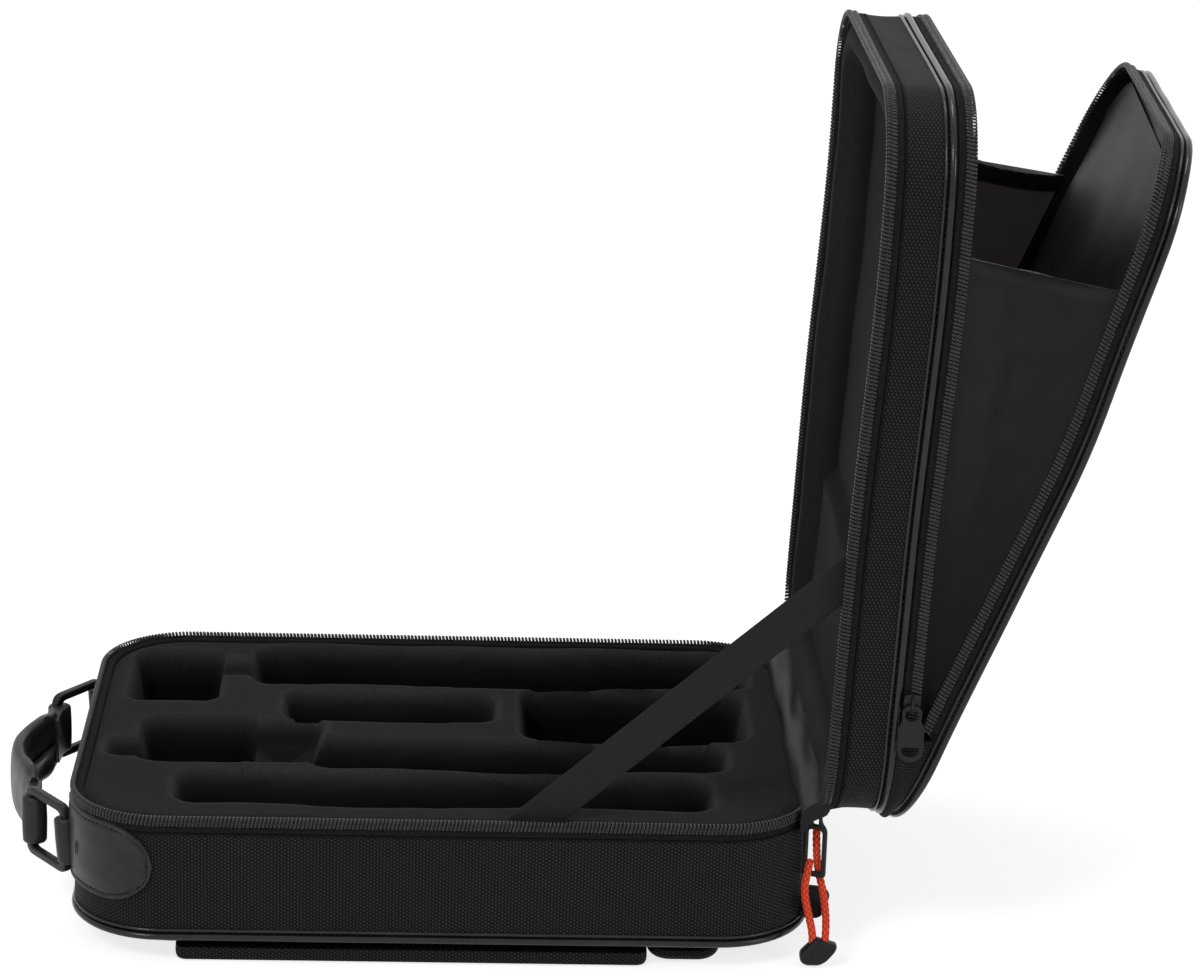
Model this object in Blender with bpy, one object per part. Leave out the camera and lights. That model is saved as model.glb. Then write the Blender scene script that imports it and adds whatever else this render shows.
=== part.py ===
"""A soft clarinet case that lies on its back with the lid and the lid's pocket open.

+X runs from the handle to the hinge, +Y away from the near side, +Z up. The origin is on the underside
of the strap pocket, in the middle of the case. The case is modelled closed: the lid then turns open on
the empty at its hinge, and the pocket's cover on the empty at the end of the pocket's zip.
"""

from math import atan2, cos, pi, radians, sin

import bmesh
import bpy
from mathutils import Vector

MM = 0.001

# The case
case_length = 385 * MM
case_width = 270 * MM
corner_radius = 48 * MM
corner_steps = 6
base_depth = 67.2 * MM
lid_depth = 33 * MM
lid_open_angle = 92.1
gap = 0.3 * MM
overrun = 8 * MM

# Walls of the two tubs
cloth_thickness = 1.4 * MM
edge_radius = 5 * MM
edge_steps = 3
core_wall = 3.5 * MM
core_floor = 3.5 * MM
tape_width = 6.2 * MM
tape_thickness = 1.1 * MM
coil_width = 3.2 * MM
coil_height = 2.9 * MM
coil_overhang = 0.4 * MM
piping_radius = 1.9 * MM
piping_sides = 8

# The panels under the back
strap_pocket_depth = 7.4 * MM
back_pad_depth = 7.0 * MM
back_pad_handle_margin = 22.5 * MM
back_pad_hinge_margin = 40.5 * MM
back_pad_side_margin = 6 * MM
back_pad_radius = 30 * MM
back_pad_slope_share = 0.6
back_pad_roll_share = 0.15
strap_pocket_handle_margin = 55.5 * MM
strap_pocket_hinge_margin = 84.5 * MM
strap_pocket_side_margin = 3 * MM
strap_pocket_radius = 6 * MM
strap_pocket_bevel_share = 0.25
harness_end_length = 38 * MM
harness_end_side_margin = 7 * MM
harness_end_radius = 12 * MM
harness_end_depth = 7.4 * MM
harness_slope_share = 0.6
harness_roll_share = 0.1

# The insert and its wells, each from its low corner to its high corner, with its depth
insert_top_drop = 3.3 * MM
insert_border_clearance = 2.4 * MM
well_corner_radius = 7 * MM
well_steps = 3
well_draft = 2 * MM
bell_well = ((44 * MM, -12 * MM), (166 * MM, 58 * MM), 50 * MM)
square_well = ((-174 * MM, 37 * MM), (-126 * MM, 112 * MM), 46 * MM)
link_well = ((-130 * MM, 68 * MM), (-100 * MM, 102 * MM), 12 * MM)
upper_joint_well = ((-106 * MM, 67 * MM), (170 * MM, 120 * MM), 38 * MM)
short_well = ((-88 * MM, 11 * MM), (28 * MM, 52 * MM), 34 * MM)
tip_well = ((-181 * MM, -45 * MM), (-156 * MM, -18 * MM), 22 * MM)
wide_well = ((-163 * MM, -54 * MM), (-98 * MM, 4 * MM), 40 * MM)
saddle_well = ((-106 * MM, -50 * MM), (-64 * MM, 0 * MM), 20 * MM)
lower_joint_well = ((-72 * MM, -58 * MM), (154 * MM, -18 * MM), 38 * MM)
side_well = ((-139 * MM, -114 * MM), (142 * MM, -66 * MM), 34 * MM)

# The lid's lining
lid_border_width = 15 * MM
lid_recess_depth = 19 * MM
lid_recess_radius = 26 * MM

# The pocket on the lid
pocket_rim_depth = 11.7 * MM
cover_depth = 14.3 * MM
cover_crown = 6 * MM
cover_open_angle = 18.5
zip_stop_from_hinge = 57.9 * MM
crown_shares = ((0.75, 1.0), (0.35, 0.86), (0.08, 0.45))
crown_corner = 10 * MM
cover_panel_thickness = 2.4 * MM
lining_thickness = 0.9 * MM
sleeve_length = 250 * MM
sleeve_margin = 20 * MM
end_wall_low = 3 * MM
end_wall_high = 12 * MM
patch_length = 52 * MM
patch_inset = 6.4 * MM
patch_width = 30 * MM
patch_thickness = 1.2 * MM
gusset_thickness = 0.8 * MM
gusset_start = 16 * MM
gusset_length = 236 * MM
gusset_seam = 5 * MM

# The stay strap and the spine
stay_width = 20 * MM
stay_thickness = 1.6 * MM
stay_base_x = 39.8 * MM
stay_lid_reach = 145 * MM
spine_width = 168 * MM
spine_thickness = 1.2 * MM
spine_reach = 9 * MM
zip_stop_from_end = 1 * MM

# The leather corners and the handle
patch_side_reach = 36 * MM
patch_end_reach = 40 * MM
patch_bottom = 32 * MM
patch_top = 76 * MM
corner_patch_thickness = 1.3 * MM
patch_columns = 16
patch_round_share = 0.42
patch_round_power = 2.6
patch_least_share = 0.02
seat_wall_share = 0.35
rivet_place_share = 0.35
rivet_width_share = 0.6
rivet_profile = ((1.0, 0.0), (1.0, 0.4), (0.55, 1.0))
rivet_sides = 10
bar_radius = 1.6 * MM
bar_steps = 3
bar_sides = 8
ring_height = 34 * MM
ring_reach = 35 * MM
ring_middle_z = 50 * MM
ring_swing = 53.0
ring_corner_radius = 3.5 * MM
ring_seat_y = 93 * MM
sleeve_wall = 1.3 * MM
sleeve_height = 24 * MM
running_clearance = 0.3 * MM
loop_clearance = 0.8 * MM
loop_slack = 4.4 * MM
loop_wall = 2.2 * MM
loop_height = 27 * MM
loop_tail = 9 * MM
grip_height = 37 * MM
grip_thickness = 8 * MM
grip_bulge = 17 * MM
grip_steps = 10
grip_section = (
    (1.0, 0.32), (0.5, 0.5), (-0.5, 0.5), (-1.0, 0.32), (-1.0, -0.32), (-0.5, -0.5), (0.5, -0.5), (1.0, -0.32),
)
rivet_radius = 2.6 * MM
rivet_height = 1.0 * MM

# The sliders and their pulls
slider_length = 9 * MM
slider_height = 8.4 * MM
slider_depth = 3.2 * MM
slider_edge = 0.8 * MM
slider_clearance = 0.4 * MM
bail_radius = 0.7 * MM
bail_reach = 3.4 * MM
bail_sides = 8
bail_steps = 6
main_slider_angle = -24.0
main_slider_drop = 5.4 * MM
pull_width = 12.6 * MM
pull_height = 36.6 * MM
pull_eye_width = 5.6 * MM
pull_shoulder = 5 * MM
pull_thickness = 1.8 * MM
pull_bar = 1.5 * MM
pull_corner = 2.4 * MM
pull_cut_share = 0.7
pull_cut_slope_share = 0.3
pull_hole_corner_share = 0.6
bail_hole_height = 5.7 * MM
bail_hole_width = 3 * MM
pocket_slider_from_end = 18.9 * MM
pocket_slider_drop = 4.6 * MM
tab_width = 14 * MM
tab_height = 31 * MM
tab_thickness = 1.8 * MM
tab_hole_radius = 2.1 * MM
tab_seat_out = 1.6 * MM
tab_seat_drop = 3.2 * MM
tab_eye_drop = 2.9 * MM
tab_recess_depth = 0.6 * MM
tab_recess_margin = 2.6 * MM
tab_recess_height = 13 * MM
tab_cut_share = 0.45
tab_shoulder_share = 0.4
tab_neck_share = 2.2

# The cord, its route from the crossbar down to the tab and back up, and the tab
cord_diameter = 4.2 * MM
cord_bevel_resolution = 2
cord_steps = 3
cord_route = (
    (195.9 * MM, -106.3 * MM, 69.6 * MM),
    (195.8 * MM, -107.6 * MM, 64.6 * MM),
    (196.1 * MM, -108.9 * MM, 58.0 * MM),
    (196.9 * MM, -107.6 * MM, 50.0 * MM),
    (198.2 * MM, -106.5 * MM, 43.0 * MM),
    (199.9 * MM, -107.4 * MM, 36.5 * MM),
    (201.2 * MM, -111.8 * MM, 30.0 * MM),
    (201.6 * MM, -118.6 * MM, 24.4 * MM),
    (201.3 * MM, -124.8 * MM, 19.4 * MM),
    (200.9 * MM, -127.2 * MM, 13.6 * MM),
    (200.3 * MM, -127.4 * MM, 8.6 * MM),
    (197.7 * MM, -127.4 * MM, 5.6 * MM),
    (195.1 * MM, -127.4 * MM, 8.6 * MM),
    (194.5 * MM, -127.2 * MM, 13.6 * MM),
    (193.9 * MM, -125.2 * MM, 19.4 * MM),
    (192.6 * MM, -120.8 * MM, 24.8 * MM),
    (191.2 * MM, -117.2 * MM, 30.6 * MM),
    (190.4 * MM, -115.2 * MM, 36.0 * MM),
    (190.6 * MM, -113.6 * MM, 41.0 * MM),
    (192.0 * MM, -110.6 * MM, 47.0 * MM),
    (193.2 * MM, -107.0 * MM, 51.6 * MM),
)
cord_tab_width = 20 * MM
cord_tab_thickness = 7.8 * MM
cord_tab_top = 16 * MM
cord_tab_bottom = 0.8 * MM
cord_tab_middle = (197.6 * MM, -127.4 * MM)
cord_tab_corner = 2.4 * MM
cord_slot_width = 13.2 * MM
cord_slot_thickness = 5.8 * MM
cord_slot_bottom = 2.6 * MM
cord_slot_corner_share = 0.9

# The loops for the shoulder straps
anchor_width = 20 * MM
anchor_thickness = 1.8 * MM
anchor_hole = 7 * MM
anchor_reach = 13 * MM
anchor_angle = 14.0
anchor_rise = 9 * MM
anchor_knee_share = 0.7
anchor_hole_knee_share = 0.66
anchor_tip_share = 0.4

# Places that follow from the sizes above
half_length = case_length / 2
half_width = case_width / 2
base_bottom = strap_pocket_depth + back_pad_depth + 2 * gap
zip_plane = base_bottom + base_depth
hinge_x = half_length - cloth_thickness
hinge_z = zip_plane - coil_height - gap - tape_thickness / 2
pocket_plane = zip_plane + lid_depth + pocket_rim_depth
piping_out = (edge_radius + piping_radius + gap) * sin(pi / 4) - edge_radius
back_pad_start = back_pad_handle_margin - half_length
back_pad_end = half_length - back_pad_hinge_margin
strap_pocket_start = strap_pocket_handle_margin - half_length
strap_pocket_end = half_length - strap_pocket_hinge_margin
zip_end_from_middle = half_length - zip_stop_from_hinge


class Tub:
    """The levels of one half of the case, measured from its zip plane towards its floor."""

    def __init__(self, plane, direction, depth):
        self.plane = plane
        self.direction = direction
        self.depth = depth

    def level(self, distance):
        return self.plane + self.direction * distance


base = Tub(zip_plane, -1, base_depth)
lid = Tub(zip_plane, 1, lid_depth)
pocket = Tub(pocket_plane, -1, pocket_rim_depth)
cover = Tub(pocket_plane, 1, cover_depth)


def clear_scene():
    for obj in list(bpy.data.objects):
        bpy.data.objects.remove(obj, do_unlink=True)


def principled(name, colour, roughness, metallic=0.0):
    material = bpy.data.materials.new(name)
    material.use_nodes = True
    shader = material.node_tree.nodes["Principled BSDF"]
    shader.inputs["Base Color"].default_value = (*colour, 1.0)
    shader.inputs["Roughness"].default_value = roughness
    shader.inputs["Metallic"].default_value = metallic
    material.diffuse_color = (*colour, 1.0)
    return material


def add_object(name, mesh, parent=None, material=None):
    obj = bpy.data.objects.new(name, mesh)
    bpy.context.scene.collection.objects.link(obj)
    obj.parent = parent
    if material is not None:
        mesh.materials.append(material)
    return obj


def as_cutter(obj):
    obj.hide_render = True
    obj.display_type = "WIRE"
    return obj


def add_boolean(obj, other, operation="DIFFERENCE"):
    modifier = obj.modifiers.new(operation.lower(), "BOOLEAN")
    modifier.operation = operation
    modifier.solver = "EXACT"
    modifier.object = as_cutter(other)


def skin(name, sections, parent=None, material=None, cyclic=False):
    """A closed body through sections that hold the same number of points, capped unless it is cyclic."""
    bm = bmesh.new()
    rows = [[bm.verts.new(point) for point in section] for section in sections]
    pairs = list(zip(rows, rows[1:] + (rows[:1] if cyclic else [])))
    for row, following in pairs:
        for i in range(len(row)):
            j = (i + 1) % len(row)
            bm.faces.new((row[i], row[j], following[j], following[i]))
    if not cyclic:
        bm.faces.new(rows[0])
        bm.faces.new(rows[-1])
    bmesh.ops.recalc_face_normals(bm, faces=bm.faces)
    mesh = bpy.data.meshes.new(name)
    bm.to_mesh(mesh)
    bm.free()
    mesh.shade_smooth()
    mesh.set_sharp_from_angle(angle=radians(35))
    return add_object(name, mesh, parent, material)


def rounded_outline(low, high, radius, steps):
    """The points of a rounded rectangle, clockwise from the +X end of its near side's corner."""
    corners = (
        (high[0] - radius, low[1] + radius, 0),
        (low[0] + radius, low[1] + radius, -90),
        (low[0] + radius, high[1] - radius, -180),
        (high[0] - radius, high[1] - radius, -270),
    )
    points = []
    for x, y, start in corners:
        for step in range(steps + 1):
            angle = radians(start - 90 * step / steps)
            points.append((x + radius * cos(angle), y + radius * sin(angle)))
    return points


def case_outline(inset):
    corner = (half_length - inset, half_width - inset)
    low = (-corner[0], -corner[1])
    return rounded_outline(low, corner, max(corner_radius - inset, crown_corner), corner_steps)


def ring(inset, z):
    return [(x, y, z) for x, y in case_outline(inset)]


def edge_arc(wall_inset, flat_distance, radius, tub):
    """Rings round the edge between a tub's floor and its wall, from the floor to the wall."""
    rings = []
    for step in range(edge_steps + 1):
        turn = pi / 2 * step / edge_steps
        inset = wall_inset + radius * (1 - sin(turn))
        rings.append((inset, tub.level(flat_distance - radius * (1 - cos(turn)))))
    return rings


def tub_body(name, tub, outer, floor_distance, wall, floor, top_distance, parent, material, crown=0.0):
    """An open tub: its outer side from the floor to the rim, then its inner side back to the floor."""
    outer_radius = max(edge_radius - outer, gap)
    inner_radius = max(outer_radius - wall, gap)
    profile = edge_arc(outer, floor_distance, outer_radius, tub)
    if crown:
        inner_reach = half_width - corner_radius
        crowns = [(outer + outer_radius + share * inner_reach, rise) for share, rise in crown_shares]
        profile = [(inset, tub.level(floor_distance + rise * crown)) for inset, rise in crowns] + profile
    profile += [(outer, tub.level(top_distance)), (outer + wall, tub.level(top_distance))]
    inner = edge_arc(outer + wall, floor_distance - floor, inner_radius, tub)
    profile += reversed(inner)
    return skin(name, [ring(inset, z) for inset, z in profile], parent, material)


def outline_run(inset, keep):
    """The outline's points that keep accepts, in order along one unbroken run."""
    points = case_outline(inset)
    flags = [keep(point) for point in case_outline(0)]
    start = 0
    if flags[0] and flags[-1] and not all(flags):
        start = next(i for i in range(len(flags)) if not flags[i])
    order = [(start + i) % len(points) for i in range(len(points))]
    return [(points[i], i) for i in order if flags[i]]


def band(name, corners, keep, parent, material, extend_to=None):
    """A strip along part of the outline. Each corner of its section is (inset, z), or (inset, z of x)."""
    runs = [outline_run(inset, keep) for inset, _ in corners]
    sections = []
    for i in range(len(runs[0])):
        section = []
        for (_, height), run in zip(corners, runs):
            (x, y), _ = run[i]
            section.append((x, y, height(x) if callable(height) else height))
        sections.append(section)
    if extend_to is not None:
        for end in (0, -1):
            section = [(extend_to, y, z) for _, y, z in sections[end]]
            for k, (_, height) in enumerate(corners):
                if callable(height):
                    section[k] = (extend_to, section[k][1], height(extend_to))
            sections.insert(0 if end == 0 else len(sections), section)
    return skin(name, sections, parent, material)


def chain_section(tub, sunk):
    """A zip's half: the tape that stands on the cloth, and the coil along its edge."""
    shoulder = gap + coil_height
    return [
        (sunk + tape_thickness, tub.level(tape_width)),
        (sunk, tub.level(tape_width)),
        (sunk, tub.level(shoulder)),
        (-coil_overhang, tub.level(shoulder)),
        (-coil_overhang, tub.level(gap / 2)),
        (coil_width - coil_overhang, tub.level(gap / 2)),
        (coil_width - coil_overhang, tub.level(shoulder)),
        (sunk + tape_thickness, tub.level(shoulder)),
    ]


def piping(name, tub, distance, parent, material):
    """A round cord along the outer edge of a tub."""
    centre_z = tub.level(distance + piping_out)
    outline = case_outline(0)
    sections = []
    for i, (x, y) in enumerate(outline):
        outward = outward_at(i)
        section = []
        for k in range(piping_sides):
            angle = 2 * pi * (k + 0.5) / piping_sides
            reach = piping_out + piping_radius * cos(angle)
            height = centre_z + piping_radius * sin(angle)
            section.append((x + outward[0] * reach, y + outward[1] * reach, height))
        sections.append(section)
    return skin(name, sections, parent, material, cyclic=True)


def outward_at(i):
    """The outward direction at point i of the case's outline."""
    (x, y), (inner_x, inner_y) = case_outline(0)[i], case_outline(edge_radius)[i]
    return ((x - inner_x) / edge_radius, (y - inner_y) / edge_radius)


def plate(name, low, high, radius, levels, parent, material):
    """A rounded plate. levels lists its rings from one face to the other as (inset, z)."""
    sections = []
    for inset, z in levels:
        a = (low[0] + inset, low[1] + inset)
        b = (high[0] - inset, high[1] - inset)
        outline = rounded_outline(a, b, max(radius - inset, gap), well_steps)
        sections.append([(x, y, z) for x, y in outline])
    return skin(name, sections, parent, material)


def off_the_hinge(point):
    return point[0] < half_length - zip_stop_from_end


def make_tub_parts(prefix, tub, parent, colours):
    """The cloth, the stiff core, the zip's half and the piping of the base or of the lid."""
    tub_body(
        f"{prefix}_cloth", tub, 0, tub.depth, cloth_thickness, cloth_thickness,
        tape_width + gap, parent, colours["cloth"],
    )
    core_outer = cloth_thickness + gap
    core_bottom = tub.depth - cloth_thickness - gap
    core_top = coil_height + 2 * gap
    tub_body(
        f"{prefix}_core", tub, core_outer, core_bottom, core_wall, core_floor,
        core_top, parent, colours["core"],
    )
    piping(f"{prefix}_piping", tub, tub.depth, parent, colours["piping"])
    band(f"{prefix}_zip_chain", chain_section(tub, gap / 2), off_the_hinge, parent, colours["zip"])


def make_base_insert(colours):
    """The moulded insert, with a well for each part of the instrument."""
    inset = cloth_thickness + core_wall + gap + insert_border_clearance
    bottom = base.level(base_depth - cloth_thickness - core_floor - 2 * gap)
    top = base.level(insert_top_drop)
    low = (-half_length + inset, -half_width + inset)
    high = (half_length - inset, half_width - inset)
    radius = corner_radius - inset
    levels = ((edge_radius / 2, bottom), (0, bottom + edge_radius / 2), (0, top))
    insert = plate("base_insert", low, high, radius, levels, None, colours["plush"])
    wells = (
        square_well, link_well, upper_joint_well, short_well, bell_well,
        tip_well, wide_well, saddle_well, lower_joint_well, side_well,
    )
    for i, (a, b, depth) in enumerate(wells):
        floor = top - depth
        rings = ((well_draft, floor), (0, top - well_draft), (0, top + overrun))
        cutter = plate(f"well_cutter_{i}", a, b, well_corner_radius, rings, None, None)
        add_boolean(insert, cutter)


def make_lid_insert(parent, colours):
    """The lid's padded lining: a border round a shallow recess."""
    inset = cloth_thickness + core_wall + gap + insert_border_clearance
    bottom = lid.level(lid_depth - cloth_thickness - core_floor - 2 * gap)
    top = lid.level(insert_top_drop)
    low = (-half_length + inset, -half_width + inset)
    high = (half_length - inset, half_width - inset)
    levels = ((edge_radius / 2, bottom), (0, bottom - edge_radius / 2), (0, top))
    insert = plate("lid_insert", low, high, corner_radius - inset, levels, parent, colours["plush"])
    a = (low[0] + lid_border_width, low[1] + lid_border_width)
    b = (high[0] - lid_border_width, high[1] - lid_border_width)
    rings = ((well_draft, top + lid_recess_depth), (0, top + well_draft), (0, top - overrun))
    cutter = plate("lid_recess_cutter", a, b, lid_recess_radius, rings, parent, None)
    add_boolean(insert, cutter)


def make_back_panels(colours):
    """The padded back, the strap pocket that the case lies on, and the stowed strap's end."""
    pad_low = strap_pocket_depth + gap
    pad_top = pad_low + back_pad_depth
    rise = back_pad_depth * back_pad_slope_share
    roll = back_pad_depth * back_pad_roll_share
    side = half_width - back_pad_side_margin
    plate(
        "back_pad", (back_pad_start, -side), (back_pad_end, side),
        back_pad_radius, ((rise, pad_low), (roll, pad_low + rise), (0, pad_top)), None, colours["cloth"],
    )
    bevel = strap_pocket_depth * strap_pocket_bevel_share
    side = half_width - strap_pocket_side_margin
    plate(
        "strap_pocket", (strap_pocket_start, -side), (strap_pocket_end, side), strap_pocket_radius,
        ((bevel, 0), (0, bevel), (0, strap_pocket_depth)), None, colours["cloth"],
    )
    start = strap_pocket_end + gap
    low_level = strap_pocket_depth - harness_end_depth
    slope = harness_end_depth * harness_slope_share
    roll = harness_end_depth * harness_roll_share
    side = half_width - harness_end_side_margin
    plate(
        "harness_end", (start, -side), (start + harness_end_length, side), harness_end_radius,
        ((slope, low_level), (roll, low_level + slope), (0, strap_pocket_depth)), None, colours["cloth"],
    )


def not_by_hinge(point):
    return point[0] < zip_end_from_middle


def by_hinge(point):
    return point[0] > zip_end_from_middle


def make_pocket(parent, colours):
    """What the lid carries of its pocket: the rim, its half of the zip and the closed wall by the hinge."""
    bottom = lid.level(lid_depth + gap)
    rim_bottom = lid.level(lid_depth + piping_out + piping_radius + gap)
    top = pocket.level(tape_width + gap)
    rim_end = zip_end_from_middle - gap
    band(
        "pocket_rim", [(0, rim_bottom), (0, top), (cloth_thickness, top), (cloth_thickness, rim_bottom)],
        not_by_hinge, parent, colours["cloth"], extend_to=rim_end,
    )
    band(
        "pocket_zip_chain", chain_section(pocket, gap / 2), not_by_hinge, parent, colours["zip"],
        extend_to=rim_end,
    )

    def wall_top(x):
        share = (half_length - x) / (half_length - zip_end_from_middle)
        return bottom + end_wall_low + (end_wall_high - end_wall_low) * share

    band(
        "pocket_end_wall",
        [(edge_radius, bottom), (edge_radius, wall_top), (edge_radius + cloth_thickness, wall_top),
         (edge_radius + cloth_thickness, bottom)],
        by_hinge, parent, colours["cloth"], extend_to=zip_end_from_middle + gap,
    )


def box(name, low, high, parent=None, material=None):
    corners = ((low[0], low[1]), (high[0], low[1]), (high[0], high[1]), (low[0], high[1]))
    sections = [[(x, y, z) for x, y in corners] for z in (low[2], high[2])]
    return skin(name, sections, parent, material)


def make_cover(parent, colours):
    """The pocket's cover, modelled shut. Its rim stops at the end of the zip, and its panel runs on."""
    shell = tub_body(
        "cover_cloth", cover, 0, cover_depth, cloth_thickness, cover_panel_thickness,
        tape_width + gap, parent, colours["cloth"], crown=cover_crown,
    )
    cut_top = cover.level(cover_depth - cover_panel_thickness)
    cutter = box(
        "cover_rim_cutter", (zip_end_from_middle, -half_width - overrun, pocket_plane - overrun),
        (half_length + overrun, half_width + overrun, cut_top), parent,
    )
    add_boolean(shell, cutter)
    piping("cover_piping", cover, cover_depth, parent, colours["piping"])
    band(
        "cover_zip_chain", chain_section(cover, gap / 2), not_by_hinge, parent, colours["zip"],
        extend_to=zip_end_from_middle - gap,
    )
    inset = cloth_thickness + gap
    lining_out = cover.level(cover_depth - cover_panel_thickness - gap)
    lining_in = lining_out - lining_thickness
    margin = inset + edge_radius
    plate(
        "cover_lining", (-half_length + margin, -half_width + margin),
        (zip_end_from_middle, half_width - margin), corner_radius - margin,
        ((0, lining_in), (0, lining_out)), parent, colours["lining"],
    )
    sleeve_start = -half_length + margin + sleeve_margin
    sleeve_top = lining_in - gap
    plate(
        "cover_sleeve", (sleeve_start, -half_width + margin + gap),
        (sleeve_start + sleeve_length, half_width - margin - gap), edge_radius,
        ((0, sleeve_top - lining_thickness), (0, sleeve_top)), parent, colours["lining"],
    )
    make_cover_patch(parent, colours)


def crown_at(inset):
    """How far the cover's panel stands out at this inset from the case's outline."""
    inner_reach = half_width - corner_radius
    rings = [(edge_radius, 0.0)]
    rings += [(edge_radius + share * inner_reach, rise * cover_crown) for share, rise in reversed(crown_shares)]
    for (a, low), (b, high) in zip(rings, rings[1:]):
        if inset <= b:
            return low + (high - low) * (inset - a) / (b - a)
    return cover_crown


def make_cover_patch(parent, colours):
    """The smooth guard over the lower end of the cover's panel, inside its piping."""
    knee = edge_radius + crown_shares[-1][0] * (half_width - corner_radius)
    levels = [(inset, cover_depth + crown_at(inset) + 2 * gap) for inset in (patch_inset, knee, patch_width)]
    inner = [(inset, cover.level(distance)) for inset, distance in levels]
    outside = [(inset, cover.level(distance + patch_thickness)) for inset, distance in reversed(levels)]
    start = half_length - patch_length
    band(
        "cover_patch", inner + outside, lambda p: p[0] > start, parent, colours["vinyl"], extend_to=start,
    )


def make_gussets(parent, colours):
    """The two cloth sides that hold the open cover, as flat sheets in their open shape."""
    inset = coil_width - coil_overhang + gap
    turn = radians(cover_open_angle)
    for name, side in (("gusset_near", -1), ("gusset_far", 1)):
        outer = side * (half_width - inset)
        inner = side * (half_width - inset - gusset_thickness)
        points = []
        for along, below in ((gusset_start, True), (gusset_start + gusset_length, True)):
            points.append((zip_end_from_middle - along, pocket_plane - gusset_seam))
        for along in (gusset_start + gusset_length, gusset_start):
            x = zip_end_from_middle - along * cos(turn) - gusset_seam * sin(turn)
            z = pocket_plane + along * sin(turn) + gusset_seam * cos(turn)
            points.append((x, z))
        sections = [[(x, y, z) for x, z in points] for y in (outer, inner)]
        skin(name, sections, parent, colours["lining"])


def turned(x, z, angle):
    """A point of the closed lid, carried to the open lid."""
    a = radians(angle)
    dx, dz = x - hinge_x, z - hinge_z
    return (hinge_x + dx * cos(a) + dz * sin(a), hinge_z - dx * sin(a) + dz * cos(a))


def make_stay_strap(colours):
    """The taut webbing on the near side, between the walls and the inserts."""
    outer = -half_width + cloth_thickness + core_wall + 2 * gap
    inner = outer + stay_thickness
    foot = (stay_base_x, base.level(insert_top_drop + stay_width / 2))
    head = turned(hinge_x - stay_lid_reach, lid.level(insert_top_drop + stay_width / 4), lid_open_angle)
    along = Vector((head[0] - foot[0], head[1] - foot[1])).normalized()
    across = Vector((-along.y, along.x)) * stay_width / 2
    corners = []
    for point, side in ((foot, -1), (head, -1), (head, 1), (foot, 1)):
        corners.append((point[0] + across.x * side, point[1] + across.y * side))
    sections = [[(x, y, z) for x, z in corners] for y in (outer, inner)]
    skin("lid_stay_strap", sections, None, colours["webbing"])


def make_spine(colours):
    """The cloth that joins the base's end to the lid's, round the outside of the hinge."""
    half = spine_width / 2
    outside = half_length + gap
    bottom = base.level(tape_width + spine_reach)
    lid_x, lid_z = turned(half_length + gap, lid.level(tape_width + spine_reach), lid_open_angle)
    knee_x, knee_z = turned(half_length + gap, lid.level(0), lid_open_angle)
    path = [(outside, bottom), (outside, knee_z - 2 * gap - spine_thickness), (lid_x, lid_z - gap)]
    low = [(outside + spine_thickness, bottom)]
    low.append((outside + spine_thickness, path[1][1] - spine_thickness))
    low.append((lid_x, lid_z - gap - spine_thickness))
    corners = path + low[::-1]
    sections = [[(x, y, z) for x, z in corners] for y in (-half, half)]
    skin("hinge_spine", sections, None, colours["cloth"])


def corner_point(along, out, side):
    """A point beside the base's handle end corner. along is 0 at its middle and grows towards the long side."""
    arc = corner_radius * pi / 4
    radius = corner_radius + out
    centre_x, centre_y = -half_length + corner_radius, -half_width + corner_radius
    if abs(along) <= arc:
        angle = radians(225) + along / corner_radius
        x, y = centre_x + radius * cos(angle), centre_y + radius * sin(angle)
    elif along > 0:
        x, y = centre_x + along - arc, centre_y - radius
    else:
        x, y = centre_x - radius, centre_y - along - arc
    return (x, y * -side)


def ring_seat(side):
    """The middle of a handle ring's inner bar."""
    out = gap + corner_patch_thickness + bar_radius + running_clearance + sleeve_wall * seat_wall_share
    return (-half_length - out, side * ring_seat_y)


def make_corner_patch(name, side, colours):
    """A leather patch round a corner, with a rounded end on the long side and a sleeve for the ring."""
    height = patch_top - patch_bottom
    round_length = (patch_side_reach + patch_end_reach) * patch_round_share
    sections = []
    for column in range(patch_columns + 1):
        along = -patch_end_reach + (patch_side_reach + patch_end_reach) * column / patch_columns
        past = max(0.0, along - (patch_side_reach - round_length)) / round_length
        round_share = max(1 - past**patch_round_power, patch_least_share) ** 0.5
        shrink = height / 2 * (1 - round_share)
        low, high = patch_bottom + shrink, patch_top - shrink
        section = []
        for out, z in (
            (gap, low), (gap + corner_patch_thickness, low),
            (gap + corner_patch_thickness, high), (gap, high),
        ):
            x, y = corner_point(along, out, side)
            section.append((x, y, z))
        sections.append(section)
    patch = skin(name, sections, None, colours["leather"])
    seat = ring_seat(side)
    inner = bar_radius + running_clearance
    sleeve = tube(
        f"{name}_sleeve", seat, ring_middle_z, sleeve_height, inner + sleeve_wall, inner, None
    )
    add_boolean(patch, sleeve, "UNION")
    bore = cylinder(f"{name}_bore", seat, ring_middle_z, sleeve_height + overrun, inner)
    add_boolean(patch, bore)


def circle(centre, radius, z, sides=12):
    return [
        (centre[0] + radius * cos(2 * pi * k / sides), centre[1] + radius * sin(2 * pi * k / sides), z)
        for k in range(sides)
    ]


def cylinder(name, centre, middle_z, height, radius, parent=None, material=None):
    ends = (middle_z - height / 2, middle_z + height / 2)
    return skin(name, [circle(centre, radius, z) for z in ends], parent, material)


def tube(name, centre, middle_z, height, outer, inner, material):
    low, high = middle_z - height / 2, middle_z + height / 2
    profile = ((outer, low), (outer, high), (inner, high), (inner, low))
    sections = [circle(centre, radius, z) for radius, z in profile]
    return skin(name, sections, None, material, cyclic=True)


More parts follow.
